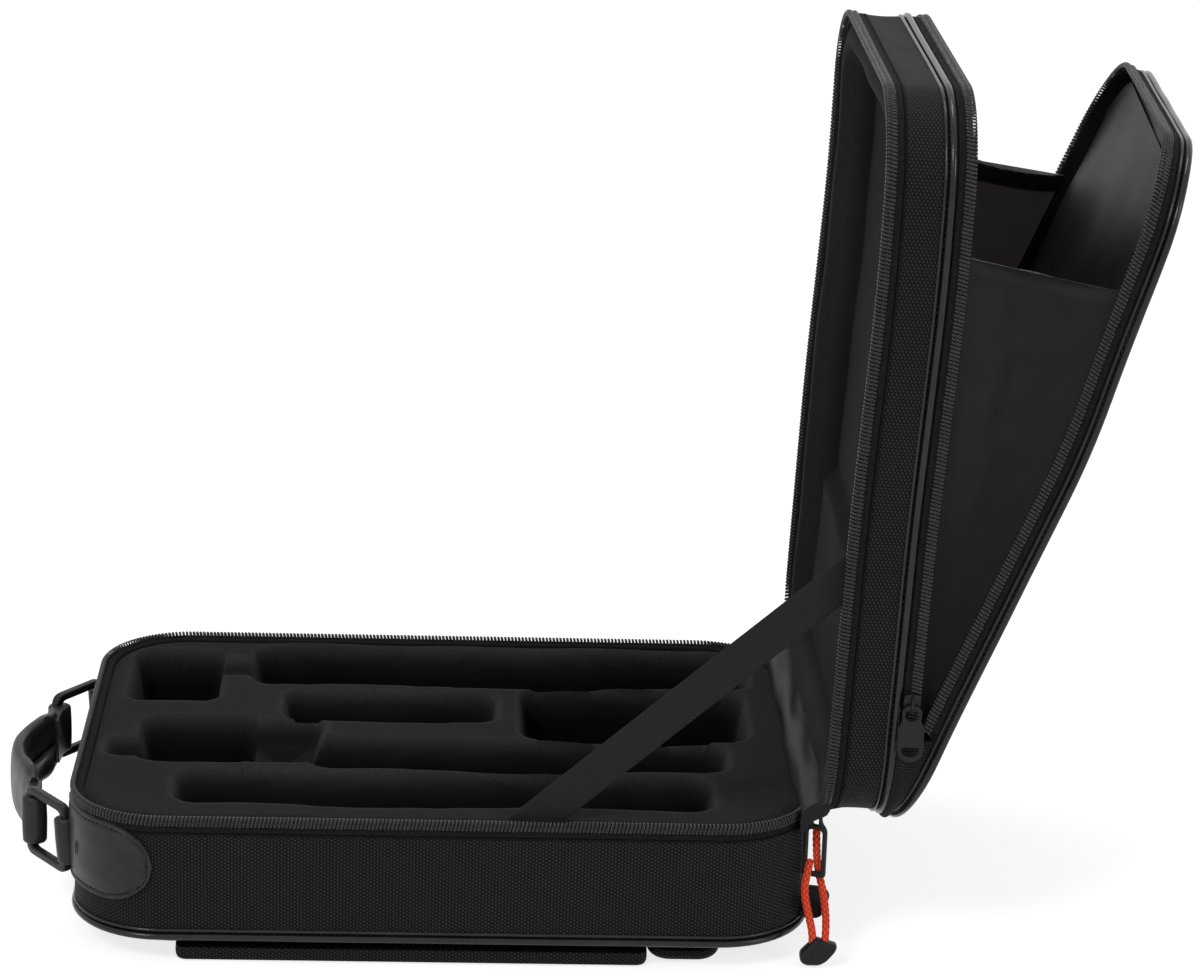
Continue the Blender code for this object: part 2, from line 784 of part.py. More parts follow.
def rounded_path(corners, radius, steps):
    """A closed path through corners in a plane, each turned into an arc."""
    points = []
    count = len(corners)
    for i, corner in enumerate(corners):
        before = (Vector(corners[i - 1]) - Vector(corner)).normalized()
        after = (Vector(corners[(i + 1) % count]) - Vector(corner)).normalized()
        centre = Vector(corner) + (before + after) * radius
        start, end = -after, -before
        for step in range(steps + 1):
            turn = pi / 2 * step / steps
            points.append(centre + (start * cos(turn) + end * sin(turn)) * radius)
    return points


def make_ring(name, side, colours):
    """A handle ring: a rectangle of round bar that turns on its inner bar."""
    seat = ring_seat(side)
    turn = radians(ring_swing)
    direction = Vector((-cos(turn), -side * sin(turn), 0))
    half = (ring_height - 2 * bar_radius) / 2
    inner = Vector((seat[0], seat[1], ring_middle_z))
    outer = inner + direction * ring_reach
    up = Vector((0, 0, half))
    path = rounded_path((inner - up, outer - up, outer + up, inner + up), ring_corner_radius, bar_steps)
    normal = direction.cross(Vector((0, 0, 1)))
    middle = (inner + outer) / 2
    sections = []
    for i, point in enumerate(path):
        tangent = (path[(i + 1) % len(path)] - path[i - 1]).normalized()
        side_way = tangent.cross(normal).normalized()
        section = []
        for k in range(bar_sides):
            angle = 2 * pi * (k + 0.5) / bar_sides
            section.append(point + (side_way * cos(angle) + normal * sin(angle)) * bar_radius)
        sections.append(section)
    pivot = add_empty(f"{name}_pivot", inner)
    local = [[point - inner for point in section] for section in sections]
    skin(name, local, pivot, colours["metal"], cyclic=True)
    return outer


def make_handle(colours):
    """The rings, the webbing loops on them and the padded grip between."""
    outers = {side: make_ring(name, side, colours) for name, side in
              (("handle_ring_near", -1), ("handle_ring_far", 1))}
    outer = outers[1]
    hole_x = bar_radius + loop_clearance
    low_z, high_z = ring_middle_z - loop_height / 2, ring_middle_z + loop_height / 2
    for name, side in (("handle_loop_near", -1), ("handle_loop_far", 1)):
        hole_low = (outer.x - hole_x, side * outer.y - (hole_x if side < 0 else hole_x + loop_slack))
        hole_high = (outer.x + hole_x, side * outer.y + (hole_x + loop_slack if side < 0 else hole_x))
        low = (hole_low[0] - loop_wall, hole_low[1] - (loop_wall if side < 0 else loop_wall + loop_tail))
        high = (hole_high[0] + loop_wall, hole_high[1] + (loop_wall + loop_tail if side < 0 else loop_wall))
        loop = plate(name, low, high, loop_wall, ((0, low_z), (0, high_z)), None, colours["webbing"])
        rings = ((0, low_z - overrun), (0, high_z + overrun))
        cutter = plate(f"{name}_cutter", hole_low, hole_high, hole_x, rings, None, None)
        add_boolean(loop, cutter)
    make_grip(outer, hole_x, colours)


def make_grip(outer, hole_x, colours):
    """The grip: a thick strap that bows away from the case between the two loops."""
    half = outer.y - hole_x - loop_slack - loop_wall - loop_tail - gap
    sections = []
    for step in range(grip_steps + 1):
        share = 2 * step / grip_steps - 1
        centre = Vector((outer.x - grip_bulge * (1 + cos(pi * share)) / 2, half * share, ring_middle_z))
        slope = grip_bulge * pi * sin(pi * share) / 2 / half
        across = Vector((-1, slope, 0)).normalized()
        section = []
        for across_share, up_share in grip_section:
            point = centre + across * (across_share * grip_thickness / 2)
            section.append(point + Vector((0, 0, up_share * grip_height)))
        sections.append(section)
    skin("handle_grip", sections, None, colours["leather"])


def make_rivets(colours):
    """The oval studs that hold the leather corners."""
    bodies = []
    for side in (-1, 1):
        along = -patch_end_reach * rivet_place_share
        x, y = corner_point(along, 2 * gap + corner_patch_thickness, side)
        angle = atan2(y - side * (half_width - corner_radius), x + half_length - corner_radius)
        across = Vector((-sin(angle), cos(angle), 0))
        out = Vector((cos(angle), sin(angle), 0))
        up = Vector((0, 0, 1))
        sections = []
        for share, lift in rivet_profile:
            section = []
            for k in range(rivet_sides):
                turn = 2 * pi * k / rivet_sides
                width = rivet_radius * rivet_width_share
                offset = across * cos(turn) * width + up * sin(turn) * rivet_radius
                point = Vector((x, y, ring_middle_z + rivet_radius)) + offset * share
                section.append(point + out * rivet_height * lift)
            sections.append(section)
        bodies.append(sections)
    for name, sections in zip(("corner_rivet_near", "corner_rivet_far"), bodies):
        skin(name, sections, None, colours["leather"])


def make_anchor_loops(colours):
    """The folded webbing loops on the hinge end's corners, which the shoulder straps clip to."""
    middle_z = base_bottom + anchor_rise
    half = (anchor_hole + 2 * anchor_thickness) / 2
    knee, tip = anchor_reach * anchor_knee_share, anchor_reach
    hole_half, hole_knee = anchor_hole / 2, anchor_reach * anchor_hole_knee_share
    hole_tip = anchor_reach - anchor_thickness
    rise, hole_rise = half * anchor_tip_share, hole_half * anchor_tip_share
    outline = [(0, -half), (knee, -half), (tip, -rise), (tip, rise), (knee, half), (0, half)]
    hole = [
        (anchor_thickness, -hole_half), (hole_knee, -hole_half), (hole_tip, -hole_rise),
        (hole_tip, hole_rise), (hole_knee, hole_half), (anchor_thickness, hole_half),
    ]
    reach = corner_radius + gap
    for name, side in (("strap_loop_near", -1), ("strap_loop_far", 1)):
        angle = side * radians(anchor_angle)
        x = half_length - corner_radius + reach * cos(angle)
        y = side * (half_width - corner_radius) + reach * sin(angle)
        seat = add_empty(f"{name}_seat", (x, y, middle_z), (0, 0, angle))
        loop = extruded(name, outline, anchor_width / 2, seat, colours["webbing"])
        add_boolean(loop, extruded(f"{name}_cutter", hole, anchor_width / 2 + overrun, seat))


def add_empty(name, location, rotation=(0, 0, 0), parent=None):
    empty = bpy.data.objects.new(name, None)
    empty.location = location
    empty.rotation_euler = rotation
    empty.parent = parent
    bpy.context.scene.collection.objects.link(empty)
    return empty


def add_slider(name, parent, colours):
    """A slider's body behind its origin, and its bail round the origin. Local X is outward, local Z across.

    The body lies on the zip, and the bail is a half ring in the plane of X and Y.
    """
    back = -bail_reach - slider_depth
    levels = ((back, slider_edge), (back + slider_edge, 0), (-bail_reach, 0))
    half_y, half_z = slider_length / 2, slider_height / 2
    sections = []
    for x, inset in levels:
        outline = rounded_outline(
            (inset - half_y, inset - half_z), (half_y - inset, half_z - inset), slider_edge * 2, 2
        )
        sections.append([(x, y, z) for y, z in outline])
    slider = skin(name, sections, parent, colours["metal"])
    sections = []
    sink = slider_depth / 2
    path = [(-bail_reach - sink, -bail_reach, -pi / 2)]
    for step in range(bail_steps + 1):
        angle = pi * step / bail_steps - pi / 2
        path.append((-bail_reach + bail_reach * cos(angle), bail_reach * sin(angle), angle))
    path.append((-bail_reach - sink, bail_reach, pi / 2))
    for x, y, angle in path:
        section = []
        for k in range(bail_sides):
            turn = 2 * pi * (k + 0.5) / bail_sides
            away = bail_radius * cos(turn)
            section.append((x + away * cos(angle), y + away * sin(angle), bail_radius * sin(turn)))
        sections.append(section)
    bail = skin(f"{name}_bail", sections, parent)
    add_boolean(slider, bail, "UNION")
    return slider


def extruded(name, outline, half, parent, material=None):
    """An outline in X and Z, extruded along Y by half to each side."""
    sections = [[(x, y, z) for x, z in outline] for y in (-half, half)]
    return skin(name, sections, parent, material)


def make_main_slider(colours):
    """The main slider on the hinge end's near corner, and the frame that hangs on its bail."""
    angle = radians(main_slider_angle)
    reach = corner_radius + coil_overhang + slider_clearance + slider_depth + bail_reach
    centre_x, centre_y = half_length - corner_radius, -half_width + corner_radius
    place = (centre_x + reach * cos(angle), centre_y + reach * sin(angle), zip_plane - main_slider_drop)
    seat = add_empty("main_slider_seat", place, (0, 0, angle))
    add_slider("main_slider", seat, colours)

    top = bail_radius + running_clearance + pull_bar
    low = top - pull_height
    half, eye = pull_width / 2, pull_eye_width / 2
    shoulder = top - pull_bar - bail_hole_height
    cut = pull_corner * pull_cut_share
    slope = cut * pull_cut_slope_share
    outline = [
        (-eye / 2, top), (eye / 2, top), (eye, top - eye / 2), (eye, shoulder),
        (half - cut, shoulder - slope), (half, shoulder - cut), (half, low + cut), (half - cut, low),
        (cut - half, low), (-half, low + cut), (-half, shoulder - cut), (cut - half, shoulder - slope),
        (-eye, shoulder), (-eye, top - eye / 2),
    ]
    frame = extruded("main_pull_frame", outline, pull_thickness / 2, seat, colours["metal"])
    hole_half = bail_hole_width / 2
    hole_low = top - pull_bar - bail_hole_height
    hole_corner = pull_bar * pull_hole_corner_share
    hole = rounded_outline((-hole_half, hole_low), (hole_half, top - pull_bar), hole_corner, 2)
    add_boolean(frame, extruded("pull_eye_cutter", hole, overrun, seat))
    inner = half - pull_bar
    window = rounded_outline((-inner, low + pull_bar), (inner, hole_low - pull_bar), pull_bar, 2)
    add_boolean(frame, extruded("pull_window_cutter", window, overrun, seat))


def smooth_route(route, steps):
    """Points on a Catmull-Rom curve through a route's own points."""
    points = []
    ends = [route[0], *route, route[-1]]
    for before, a, b, after in zip(ends, ends[1:], ends[2:], ends[3:]):
        for step in range(steps):
            t = step / steps
            weights = (
                -0.5 * t + t**2 - 0.5 * t**3, 1 - 2.5 * t**2 + 1.5 * t**3,
                0.5 * t + 2 * t**2 - 1.5 * t**3, -0.5 * t**2 + 0.5 * t**3,
            )
            mix = zip(weights, (before, a, b, after))
            points.append(sum((Vector(p) * w for w, p in mix), Vector((0, 0, 0))))
    points.append(Vector(route[-1]))
    return points


def make_cord(colours):
    """The braided cord through the frame, and the folded leather tab that holds its bend."""
    curve = bpy.data.curves.new("pull_cord", "CURVE")
    curve.dimensions = "3D"
    curve.bevel_depth = cord_diameter / 2
    curve.bevel_resolution = cord_bevel_resolution
    curve.use_fill_caps = True
    points = smooth_route(cord_route, cord_steps)
    spline = curve.splines.new("POLY")
    spline.points.add(len(points) - 1)
    for point, place in zip(spline.points, points):
        point.co = (*place, 1)
    add_object("pull_cord", curve, None, colours["cord"])

    half_x, half_y = cord_tab_width / 2, cord_tab_thickness / 2
    x, y = cord_tab_middle
    bevel = cord_tab_corner / 2
    levels = ((bevel, cord_tab_bottom), (0, cord_tab_bottom + bevel), (0, cord_tab_top))
    tab = plate(
        "cord_tab", (x - half_x, y - half_y), (x + half_x, y + half_y), cord_tab_corner, levels,
        None, colours["leather"],
    )
    half_x, half_y = cord_slot_width / 2, cord_slot_thickness / 2
    levels = ((0, cord_slot_bottom), (0, cord_tab_top + overrun))
    cutter = plate(
        "cord_slot_cutter", (x - half_x, y - half_y), (x + half_x, y + half_y),
        half_y * cord_slot_corner_share, levels, None, None,
    )
    add_boolean(tab, cutter)


def make_pocket_slider(lid_space, colours):
    """The pocket's slider on the lid's half of the zip, and the tab that hangs on its bail."""
    out = coil_overhang + slider_clearance + slider_depth + bail_reach
    x, z = zip_end_from_middle - pocket_slider_from_end, pocket_plane - pocket_slider_drop
    seat = add_empty("pocket_slider_seat", (x, -half_width - out, z), (0, 0, radians(-90)), lid_space)
    body = add_empty("pocket_slider_turn", (0, 0, 0), (0, 0, 0), seat)
    add_slider("pocket_slider", body, colours)
    rest_x, rest_z = turned(x, z, lid_open_angle)
    swing = add_empty("pocket_pull_seat", (rest_x, bail_reach - half_width - out, rest_z))
    hang = add_empty("pocket_pull_hang", (0, -tab_seat_out, -tab_seat_drop), parent=swing)
    half = tab_width / 2
    top = tab_eye_drop
    low = top - tab_height
    cut = half * tab_cut_share
    eye = half / 2
    shoulder = half - cut * tab_shoulder_share
    neck = top - cut * tab_neck_share
    outline = [
        (-eye, top), (eye, top), (shoulder, top - cut), (half, neck), (half, low + cut), (half - cut, low),
        (cut - half, low), (-half, low + cut), (-half, neck), (-shoulder, top - cut),
    ]
    tab = extruded("pocket_pull_tab", outline, tab_thickness / 2, hang, colours["metal"])
    hole = [
        (tab_hole_radius * cos(2 * pi * k / 12), tab_hole_radius * sin(2 * pi * k / 12)) for k in range(12)
    ]
    add_boolean(tab, extruded("tab_hole_cutter", hole, overrun, hang))
    inner = half - tab_recess_margin
    recess = rounded_outline(
        (-inner, low + tab_recess_margin), (inner, low + tab_recess_margin + tab_recess_height),
        tab_recess_margin, 2,
    )
    near, far = -tab_thickness / 2 - overrun, -tab_thickness / 2 + tab_recess_depth
    sections = [[(x, y, z) for x, z in recess] for y in (near, far)]
    add_boolean(tab, skin("tab_recess_cutter", sections, hang))


def main():
    clear_scene()
    colours = {
        "cloth": principled("ballistic_cloth", (0.022, 0.022, 0.023), 0.8),
        "core": principled("core_board", (0.05, 0.045, 0.04), 0.9),
        "plush": principled("plush", (0.008, 0.008, 0.009), 0.95),
        "zip": principled("zip_nylon", (0.02, 0.02, 0.021), 0.45),
        "piping": principled("piping_vinyl", (0.03, 0.03, 0.031), 0.3),
        "lining": principled("satin_lining", (0.035, 0.035, 0.036), 0.5),
        "webbing": principled("webbing", (0.02, 0.02, 0.02), 0.7),
        "leather": principled("leather", (0.035, 0.035, 0.036), 0.4),
        "vinyl": principled("guard_vinyl", (0.03, 0.03, 0.031), 0.35),
        "metal": principled("black_metal", (0.02, 0.02, 0.02), 0.35, 0.6),
        "cord": principled("orange_cord", (0.85, 0.12, 0.03), 0.7),
    }
    lid_axis = add_empty("lid_axis", (hinge_x, 0, hinge_z), (0, radians(lid_open_angle), 0))
    lid_space = add_empty("lid_space", (-hinge_x, 0, -hinge_z), parent=lid_axis)
    cover_place = (zip_end_from_middle, 0, pocket_plane)
    cover_turn = (0, radians(cover_open_angle), 0)
    cover_axis = add_empty("cover_axis", cover_place, cover_turn, lid_space)
    cover_space = add_empty("cover_space", (-zip_end_from_middle, 0, -pocket_plane), parent=cover_axis)

    make_tub_parts("base", base, None, colours)
    make_base_insert(colours)
    make_back_panels(colours)
    make_tub_parts("lid", lid, lid_space, colours)
    make_lid_insert(lid_space, colours)
    make_pocket(lid_space, colours)
    make_gussets(lid_space, colours)
    make_cover(cover_space, colours)
    make_stay_strap(colours)
    make_spine(colours)
    make_corner_patch("corner_patch_near", -1, colours)
    make_corner_patch("corner_patch_far", 1, colours)
    make_handle(colours)
    make_rivets(colours)
    make_anchor_loops(colours)
    make_main_slider(colours)
    make_cord(colours)
    make_pocket_slider(lid_space, colours)


main()
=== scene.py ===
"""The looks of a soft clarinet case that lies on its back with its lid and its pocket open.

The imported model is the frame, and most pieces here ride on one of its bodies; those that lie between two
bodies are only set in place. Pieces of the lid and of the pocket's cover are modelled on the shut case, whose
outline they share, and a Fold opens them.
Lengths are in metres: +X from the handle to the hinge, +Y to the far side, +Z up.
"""

from __future__ import annotations

import logging
from dataclasses import dataclass
from enum import Enum
from math import cos, pi, radians, sin
from typing import Callable, Sequence

import bmesh
import bpy
import numpy as np
from mathutils import Matrix, Vector
from mathutils.geometry import tessellate_polygon

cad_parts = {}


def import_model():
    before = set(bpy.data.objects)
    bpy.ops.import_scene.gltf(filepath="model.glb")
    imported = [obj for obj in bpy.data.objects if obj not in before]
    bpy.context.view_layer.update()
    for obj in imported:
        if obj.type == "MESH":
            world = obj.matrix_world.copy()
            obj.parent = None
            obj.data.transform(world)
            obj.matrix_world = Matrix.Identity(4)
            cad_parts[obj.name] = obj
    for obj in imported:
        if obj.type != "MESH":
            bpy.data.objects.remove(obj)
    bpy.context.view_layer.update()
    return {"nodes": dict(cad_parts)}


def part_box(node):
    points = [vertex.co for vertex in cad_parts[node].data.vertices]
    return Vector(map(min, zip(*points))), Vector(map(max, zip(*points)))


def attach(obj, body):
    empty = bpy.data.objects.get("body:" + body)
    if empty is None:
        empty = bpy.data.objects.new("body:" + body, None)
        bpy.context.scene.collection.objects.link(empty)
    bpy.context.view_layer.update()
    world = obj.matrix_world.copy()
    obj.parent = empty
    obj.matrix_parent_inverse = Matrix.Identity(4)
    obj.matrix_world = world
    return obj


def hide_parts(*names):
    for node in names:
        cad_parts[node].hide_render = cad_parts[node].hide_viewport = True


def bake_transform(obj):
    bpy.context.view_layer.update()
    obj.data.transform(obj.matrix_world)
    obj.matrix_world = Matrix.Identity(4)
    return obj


LOG = logging.getLogger("case")
MM = 0.001
Array = np.ndarray
Colour = tuple[float, float, float]


@dataclass(frozen=True)
class CaseSize:
    """The shut case, as the part has it."""

    length: float = 385 * MM
    width: float = 270 * MM
    corner: float = 48 * MM
    rim: float = 82.2 * MM
    hinge_x: float = 191.1 * MM
    hinge_z: float = 78.45 * MM
    lid_angle: float = 92.1
    lid_back: float = 115.2 * MM
    pocket: float = 126.9 * MM
    zip_end: float = 134.6 * MM
    cover_angle: float = 18.5
    edge: float = 5 * MM
    tape: float = 10.6 * MM
    base_depth: float = 67.2 * MM
    lid_depth: float = 33 * MM
    cover_depth: float = 14.3 * MM


CASE = CaseSize()


class Half(Enum):
    """The body that a piece is modelled on."""

    BASE = "base"
    LID = "lid"
    COVER = "cover"


def turn_open(points: Array, x: float, z: float, angle: float) -> Array:
    """Turns points about an axis along Y.

    Args:
        points: N points.
        x: the axis's place along X.
        z: the axis's height.
        angle: degrees, positive from +Z towards +X.

    Returns:
        The turned points.
    """
    c, s = cos(radians(angle)), sin(radians(angle))
    dx, dz = points[:, 0] - x, points[:, 2] - z
    return np.stack([x + dx * c + dz * s, points[:, 1], z - dx * s + dz * c], axis=1)


class Fold:
    """Carries points of the shut case to where they are on the open one."""

    NEAR_BOW = ((0, 0), (100, 2.6), (170, 4.4), (229, -0.8), (283, -4.0), (330, -9.5))
    FAR_BOW = ((0, 0), (100, 2.0), (170, 4.5), (229, 6.5), (283, 8.5), (330, 10.5))
    LID_BOW = ((0, 0), (170, 0.3), (285, 3.2), (333, 2.6), (385, 1.5))

    @classmethod
    def bow(cls, table: Sequence[tuple[float, float]], along: Array) -> Array:
        """The sideways offset at a distance along a panel, from a table in millimetres."""
        reach, offset = np.array(table).T * MM
        smooth = np.linspace(0, reach[-1], 60)
        values = np.interp(smooth, reach, offset)
        padded = np.concatenate([values[:1].repeat(4), values, values[-1:].repeat(4)])
        return np.interp(along, smooth, np.convolve(padded, np.ones(9) / 9, "valid"))

    @classmethod
    def open(cls, points: Array, half: Half) -> Array:
        """Opens points of the shut case.

        Args:
            points: N points in the shut case.
            half: the body that they are on.

        Returns:
            The points as the photograph shows them.
        """
        out = np.array(points, float)
        if half is Half.BASE:
            return out
        if half is Half.COVER:
            along = np.clip(CASE.zip_end - out[:, 0], 0, None)
            far = np.clip(out[:, 1] / CASE.width + 0.5, 0, 1)
            out[:, 2] += cls.bow(cls.NEAR_BOW, along) * (1 - far) + cls.bow(cls.FAR_BOW, along) * far
            out = turn_open(out, CASE.zip_end, CASE.pocket, CASE.cover_angle)
        else:
            out[:, 2] += cls.bow(cls.LID_BOW, np.clip(CASE.hinge_x - out[:, 0], 0, None))
        return turn_open(out, CASE.hinge_x, CASE.hinge_z, CASE.lid_angle)

    @classmethod
    def turn(cls, points: Array, directions: Array, half: Half) -> Array:
        """Unit directions at points of the shut case, as they stand on the open one."""
        step = 0.05 * MM
        moved = cls.open(points + directions * step, half) - cls.open(points, half)
        return moved / np.linalg.norm(moved, axis=1)[:, None]


class Outline:
    """A rounded rectangle, clockwise from its near side's +X corner, with outward directions."""

    def __init__(
        self,
        low: Sequence[float],
        high: Sequence[float],
        corner: float,
        corner_steps: int = 14,
        spacing: float = 7 * MM,
    ) -> None:
        self.low, self.high = np.array(low), np.array(high)
        centres = (
            (high[0] - corner, low[1] + corner, 0),
            (low[0] + corner, low[1] + corner, -90),
            (low[0] + corner, high[1] - corner, -180),
            (high[0] - corner, high[1] - corner, -270),
        )
        places: list[Array] = []
        normals: list[Array] = []
        for i, (x, y, start) in enumerate(centres):
            for step in range(corner_steps + 1):
                angle = radians(start - 90 * step / corner_steps)
                normals.append(np.array((cos(angle), sin(angle))))
                places.append(np.array((x, y)) + normals[-1] * corner)
            next_x, next_y, _ = centres[(i + 1) % 4]
            begin, end = places[-1], np.array((next_x, next_y)) + normals[-1] * corner
            steps = max(1, int(np.linalg.norm(end - begin) / spacing))
            for step in range(1, steps):
                places.append(begin + (end - begin) * step / steps)
                normals.append(normals[-1])
        self.places = np.array([*places, places[0]])
        self.normals = np.array([*normals, normals[0]])
        lengths = np.linalg.norm(np.diff(self.places, axis=0), axis=1)
        self.along = np.concatenate([[0], np.cumsum(lengths)])

    def at(self, out: float, z: float | Array) -> Array:
        """The outline's points, moved outwards by out, at height z."""
        flat = self.places + self.normals * out
        return np.column_stack([flat, np.broadcast_to(z, len(flat))])

    def spine(self, rim: Array) -> Array:
        """Where each point of a rim lands on the rectangle's middle line."""
        middle, half = (self.low + self.high) / 2, (self.high - self.low) / 2
        reach = half - half.min()
        flat = np.clip(rim[:, :2] - middle, -reach, reach) + middle
        return np.column_stack([flat, rim[:, 2]])

    def run(self, keep: Callable[[Array], Array]) -> slice:
        """The unbroken run of points for which keep is true, as a slice of `at`."""
        kept = np.nonzero(keep(self.places))[0]
        return slice(int(kept[0]), int(kept[-1]) + 1)

    def end_run(self, start: float) -> tuple[Array, Array]:
        """Places and normals past X = start, from the far side round the hinge's end to the near side."""
        after = np.nonzero(self.places[:-1, 0] > start)[0]
        split = int(np.nonzero(np.diff(after) > 1)[0][0]) + 1
        order = np.concatenate([after[split:], after[:split]])
        return self.places[order], self.normals[order]


COVER_CROWN = 13 * MM
OUTLINE = Outline((-CASE.length / 2, -CASE.width / 2), (CASE.length / 2, CASE.width / 2), CASE.corner)


def off_the_hinge(places: Array) -> Array:
    """True where the case's main zip runs."""
    return places[:, 0] < CASE.length / 2 - 0.8 * MM


def before_zip_end(places: Array) -> Array:
    """True where the pocket's zip runs."""
    return places[:, 0] < CASE.zip_end


def waves(points: Array, length: float, seed: int, count: int = 7) -> Array:
    """Smooth unevenness between about -1 and 1.

    Args:
        points: N points.
        length: the typical length of a wave.
        seed: picks the waves.
        count: how many waves are summed.

    Returns:
        One value for each point.
    """
    random = np.random.default_rng(seed)
    directions = random.normal(size=(count, 3))
    directions /= np.linalg.norm(directions, axis=1)[:, None]
    lengths = length * random.uniform(0.6, 1.7, count)
    phases = random.uniform(0, 2 * pi, count)
    return np.sin(points @ (directions / lengths[:, None]).T * 2 * pi + phases).sum(axis=1) / count**0.5 / 1.2


def smooth_step(values: Array, low: float, high: float) -> Array:
    """0 below low, 1 above high, and smooth between."""
    share = np.clip((values - low) / (high - low), 0, 1)
    return share * share * (3 - 2 * share)


def unit(vectors: Array) -> Array:
    """Each vector at length 1."""
    return vectors / np.maximum(np.linalg.norm(vectors, axis=-1, keepdims=True), 1e-9)


def curve_through(points: Sequence[Sequence[float]] | Array, steps: int) -> Array:
    """Points on a Catmull-Rom curve through the given ones, with steps to each stretch."""
    known = np.array(points, float)
    known = np.concatenate([known[:1], known, known[-1:]])
    t = np.arange(steps)[:, None] / steps
    weights = (
        -0.5 * t + t**2 - 0.5 * t**3,
        1 - 2.5 * t**2 + 1.5 * t**3,
        0.5 * t + 2 * t**2 - 1.5 * t**3,
        -0.5 * t**2 + 0.5 * t**3,
    )
    spans = [sum(w * known[i + k] for k, w in enumerate(weights)) for i in range(len(known) - 3)]
    return np.concatenate([*spans, known[-1:]])


def sweep(path: Array, section: Array, up: Sequence[float], closed: bool = False) -> Array:
    """Carries a section along a path without twisting it.

    Args:
        path: N points.
        section: M points across, or N by M, as (sideways, up).
        up: the direction that the section's second number starts along.
        closed: whether the path's last point is its first.

    Returns:
        N by M points.
    """
    if closed:
        ring = path[:-1]
        tangents = np.roll(ring, -1, axis=0) - np.roll(ring, 1, axis=0)
        tangents = np.concatenate([tangents, tangents[:1]])
    else:
        tangents = np.gradient(path, axis=0)
    tangents = unit(tangents)
    ups = []
    here = np.array(up, float)
    for tangent in tangents:
        here = unit(here - tangent * (here @ tangent))
        ups.append(here)
    above = np.array(ups)
    sides = np.cross(tangents, above)
    section = np.broadcast_to(section, (len(path), *section.shape[-2:]))
    return path[:, None] + sides[:, None] * section[..., :1] + above[:, None] * section[..., 1:]


def oval(width: float, height: float, count: int = 16, squareness: float = 1.0) -> Array:
    """A closed section, from an ellipse at 1 to nearly a rectangle at 0.3."""
    angles = np.linspace(0, 2 * pi, count + 1)
    c, s = np.cos(angles), np.sin(angles)
    across = np.sign(c) * abs(c) ** squareness * width / 2
    return np.stack([across, np.sign(s) * abs(s) ** squareness * height / 2], axis=1)


class Socket:
    """A shader socket that sums, products and comparisons can be written with."""

    def __init__(self, shader: "Shader", socket: bpy.types.NodeSocket) -> None:
        self.shader, self.socket = shader, socket

    def _math(self, operation: str, *values: object) -> "Socket":
        """One Math node on these values."""
        return self.shader.node("ShaderNodeMath", {"operation": operation}, *values)[0]

    def __add__(self, other: object) -> "Socket":
        """Adds."""
        return self._math("ADD", self, other)

    __radd__ = __add__

    def __sub__(self, other: object) -> "Socket":
        """Takes away."""
        return self._math("SUBTRACT", self, other)

    def __rsub__(self, other: object) -> "Socket":
        """Takes this away from a number."""
        return self._math("SUBTRACT", other, self)

    def __mul__(self, other: object) -> "Socket":
        """Multiplies."""
        return self._math("MULTIPLY", self, other)

    __rmul__ = __mul__

    def __truediv__(self, other: object) -> "Socket":
        """Divides."""
        return self._math("DIVIDE", self, other)

    def power(self, other: object) -> "Socket":
        """This to a power."""
        return self._math("POWER", self, other)

    def sine(self) -> "Socket":
        """Its sine."""
        return self._math("SINE", self)

    def size(self) -> "Socket":
        """Its size without its sign."""
        return self._math("ABSOLUTE", self)

    def fraction(self) -> "Socket":
        """What is over its whole number."""
        return self._math("FRACT", self)

    def step(self, low: float, high: float) -> "Socket":
        """0 below low, 1 above high, and smooth between."""
        ease = {"interpolation_type": "SMOOTHSTEP"}
        return self.shader.node("ShaderNodeMapRange", ease, self, low, high, 0.0, 1.0)[0]


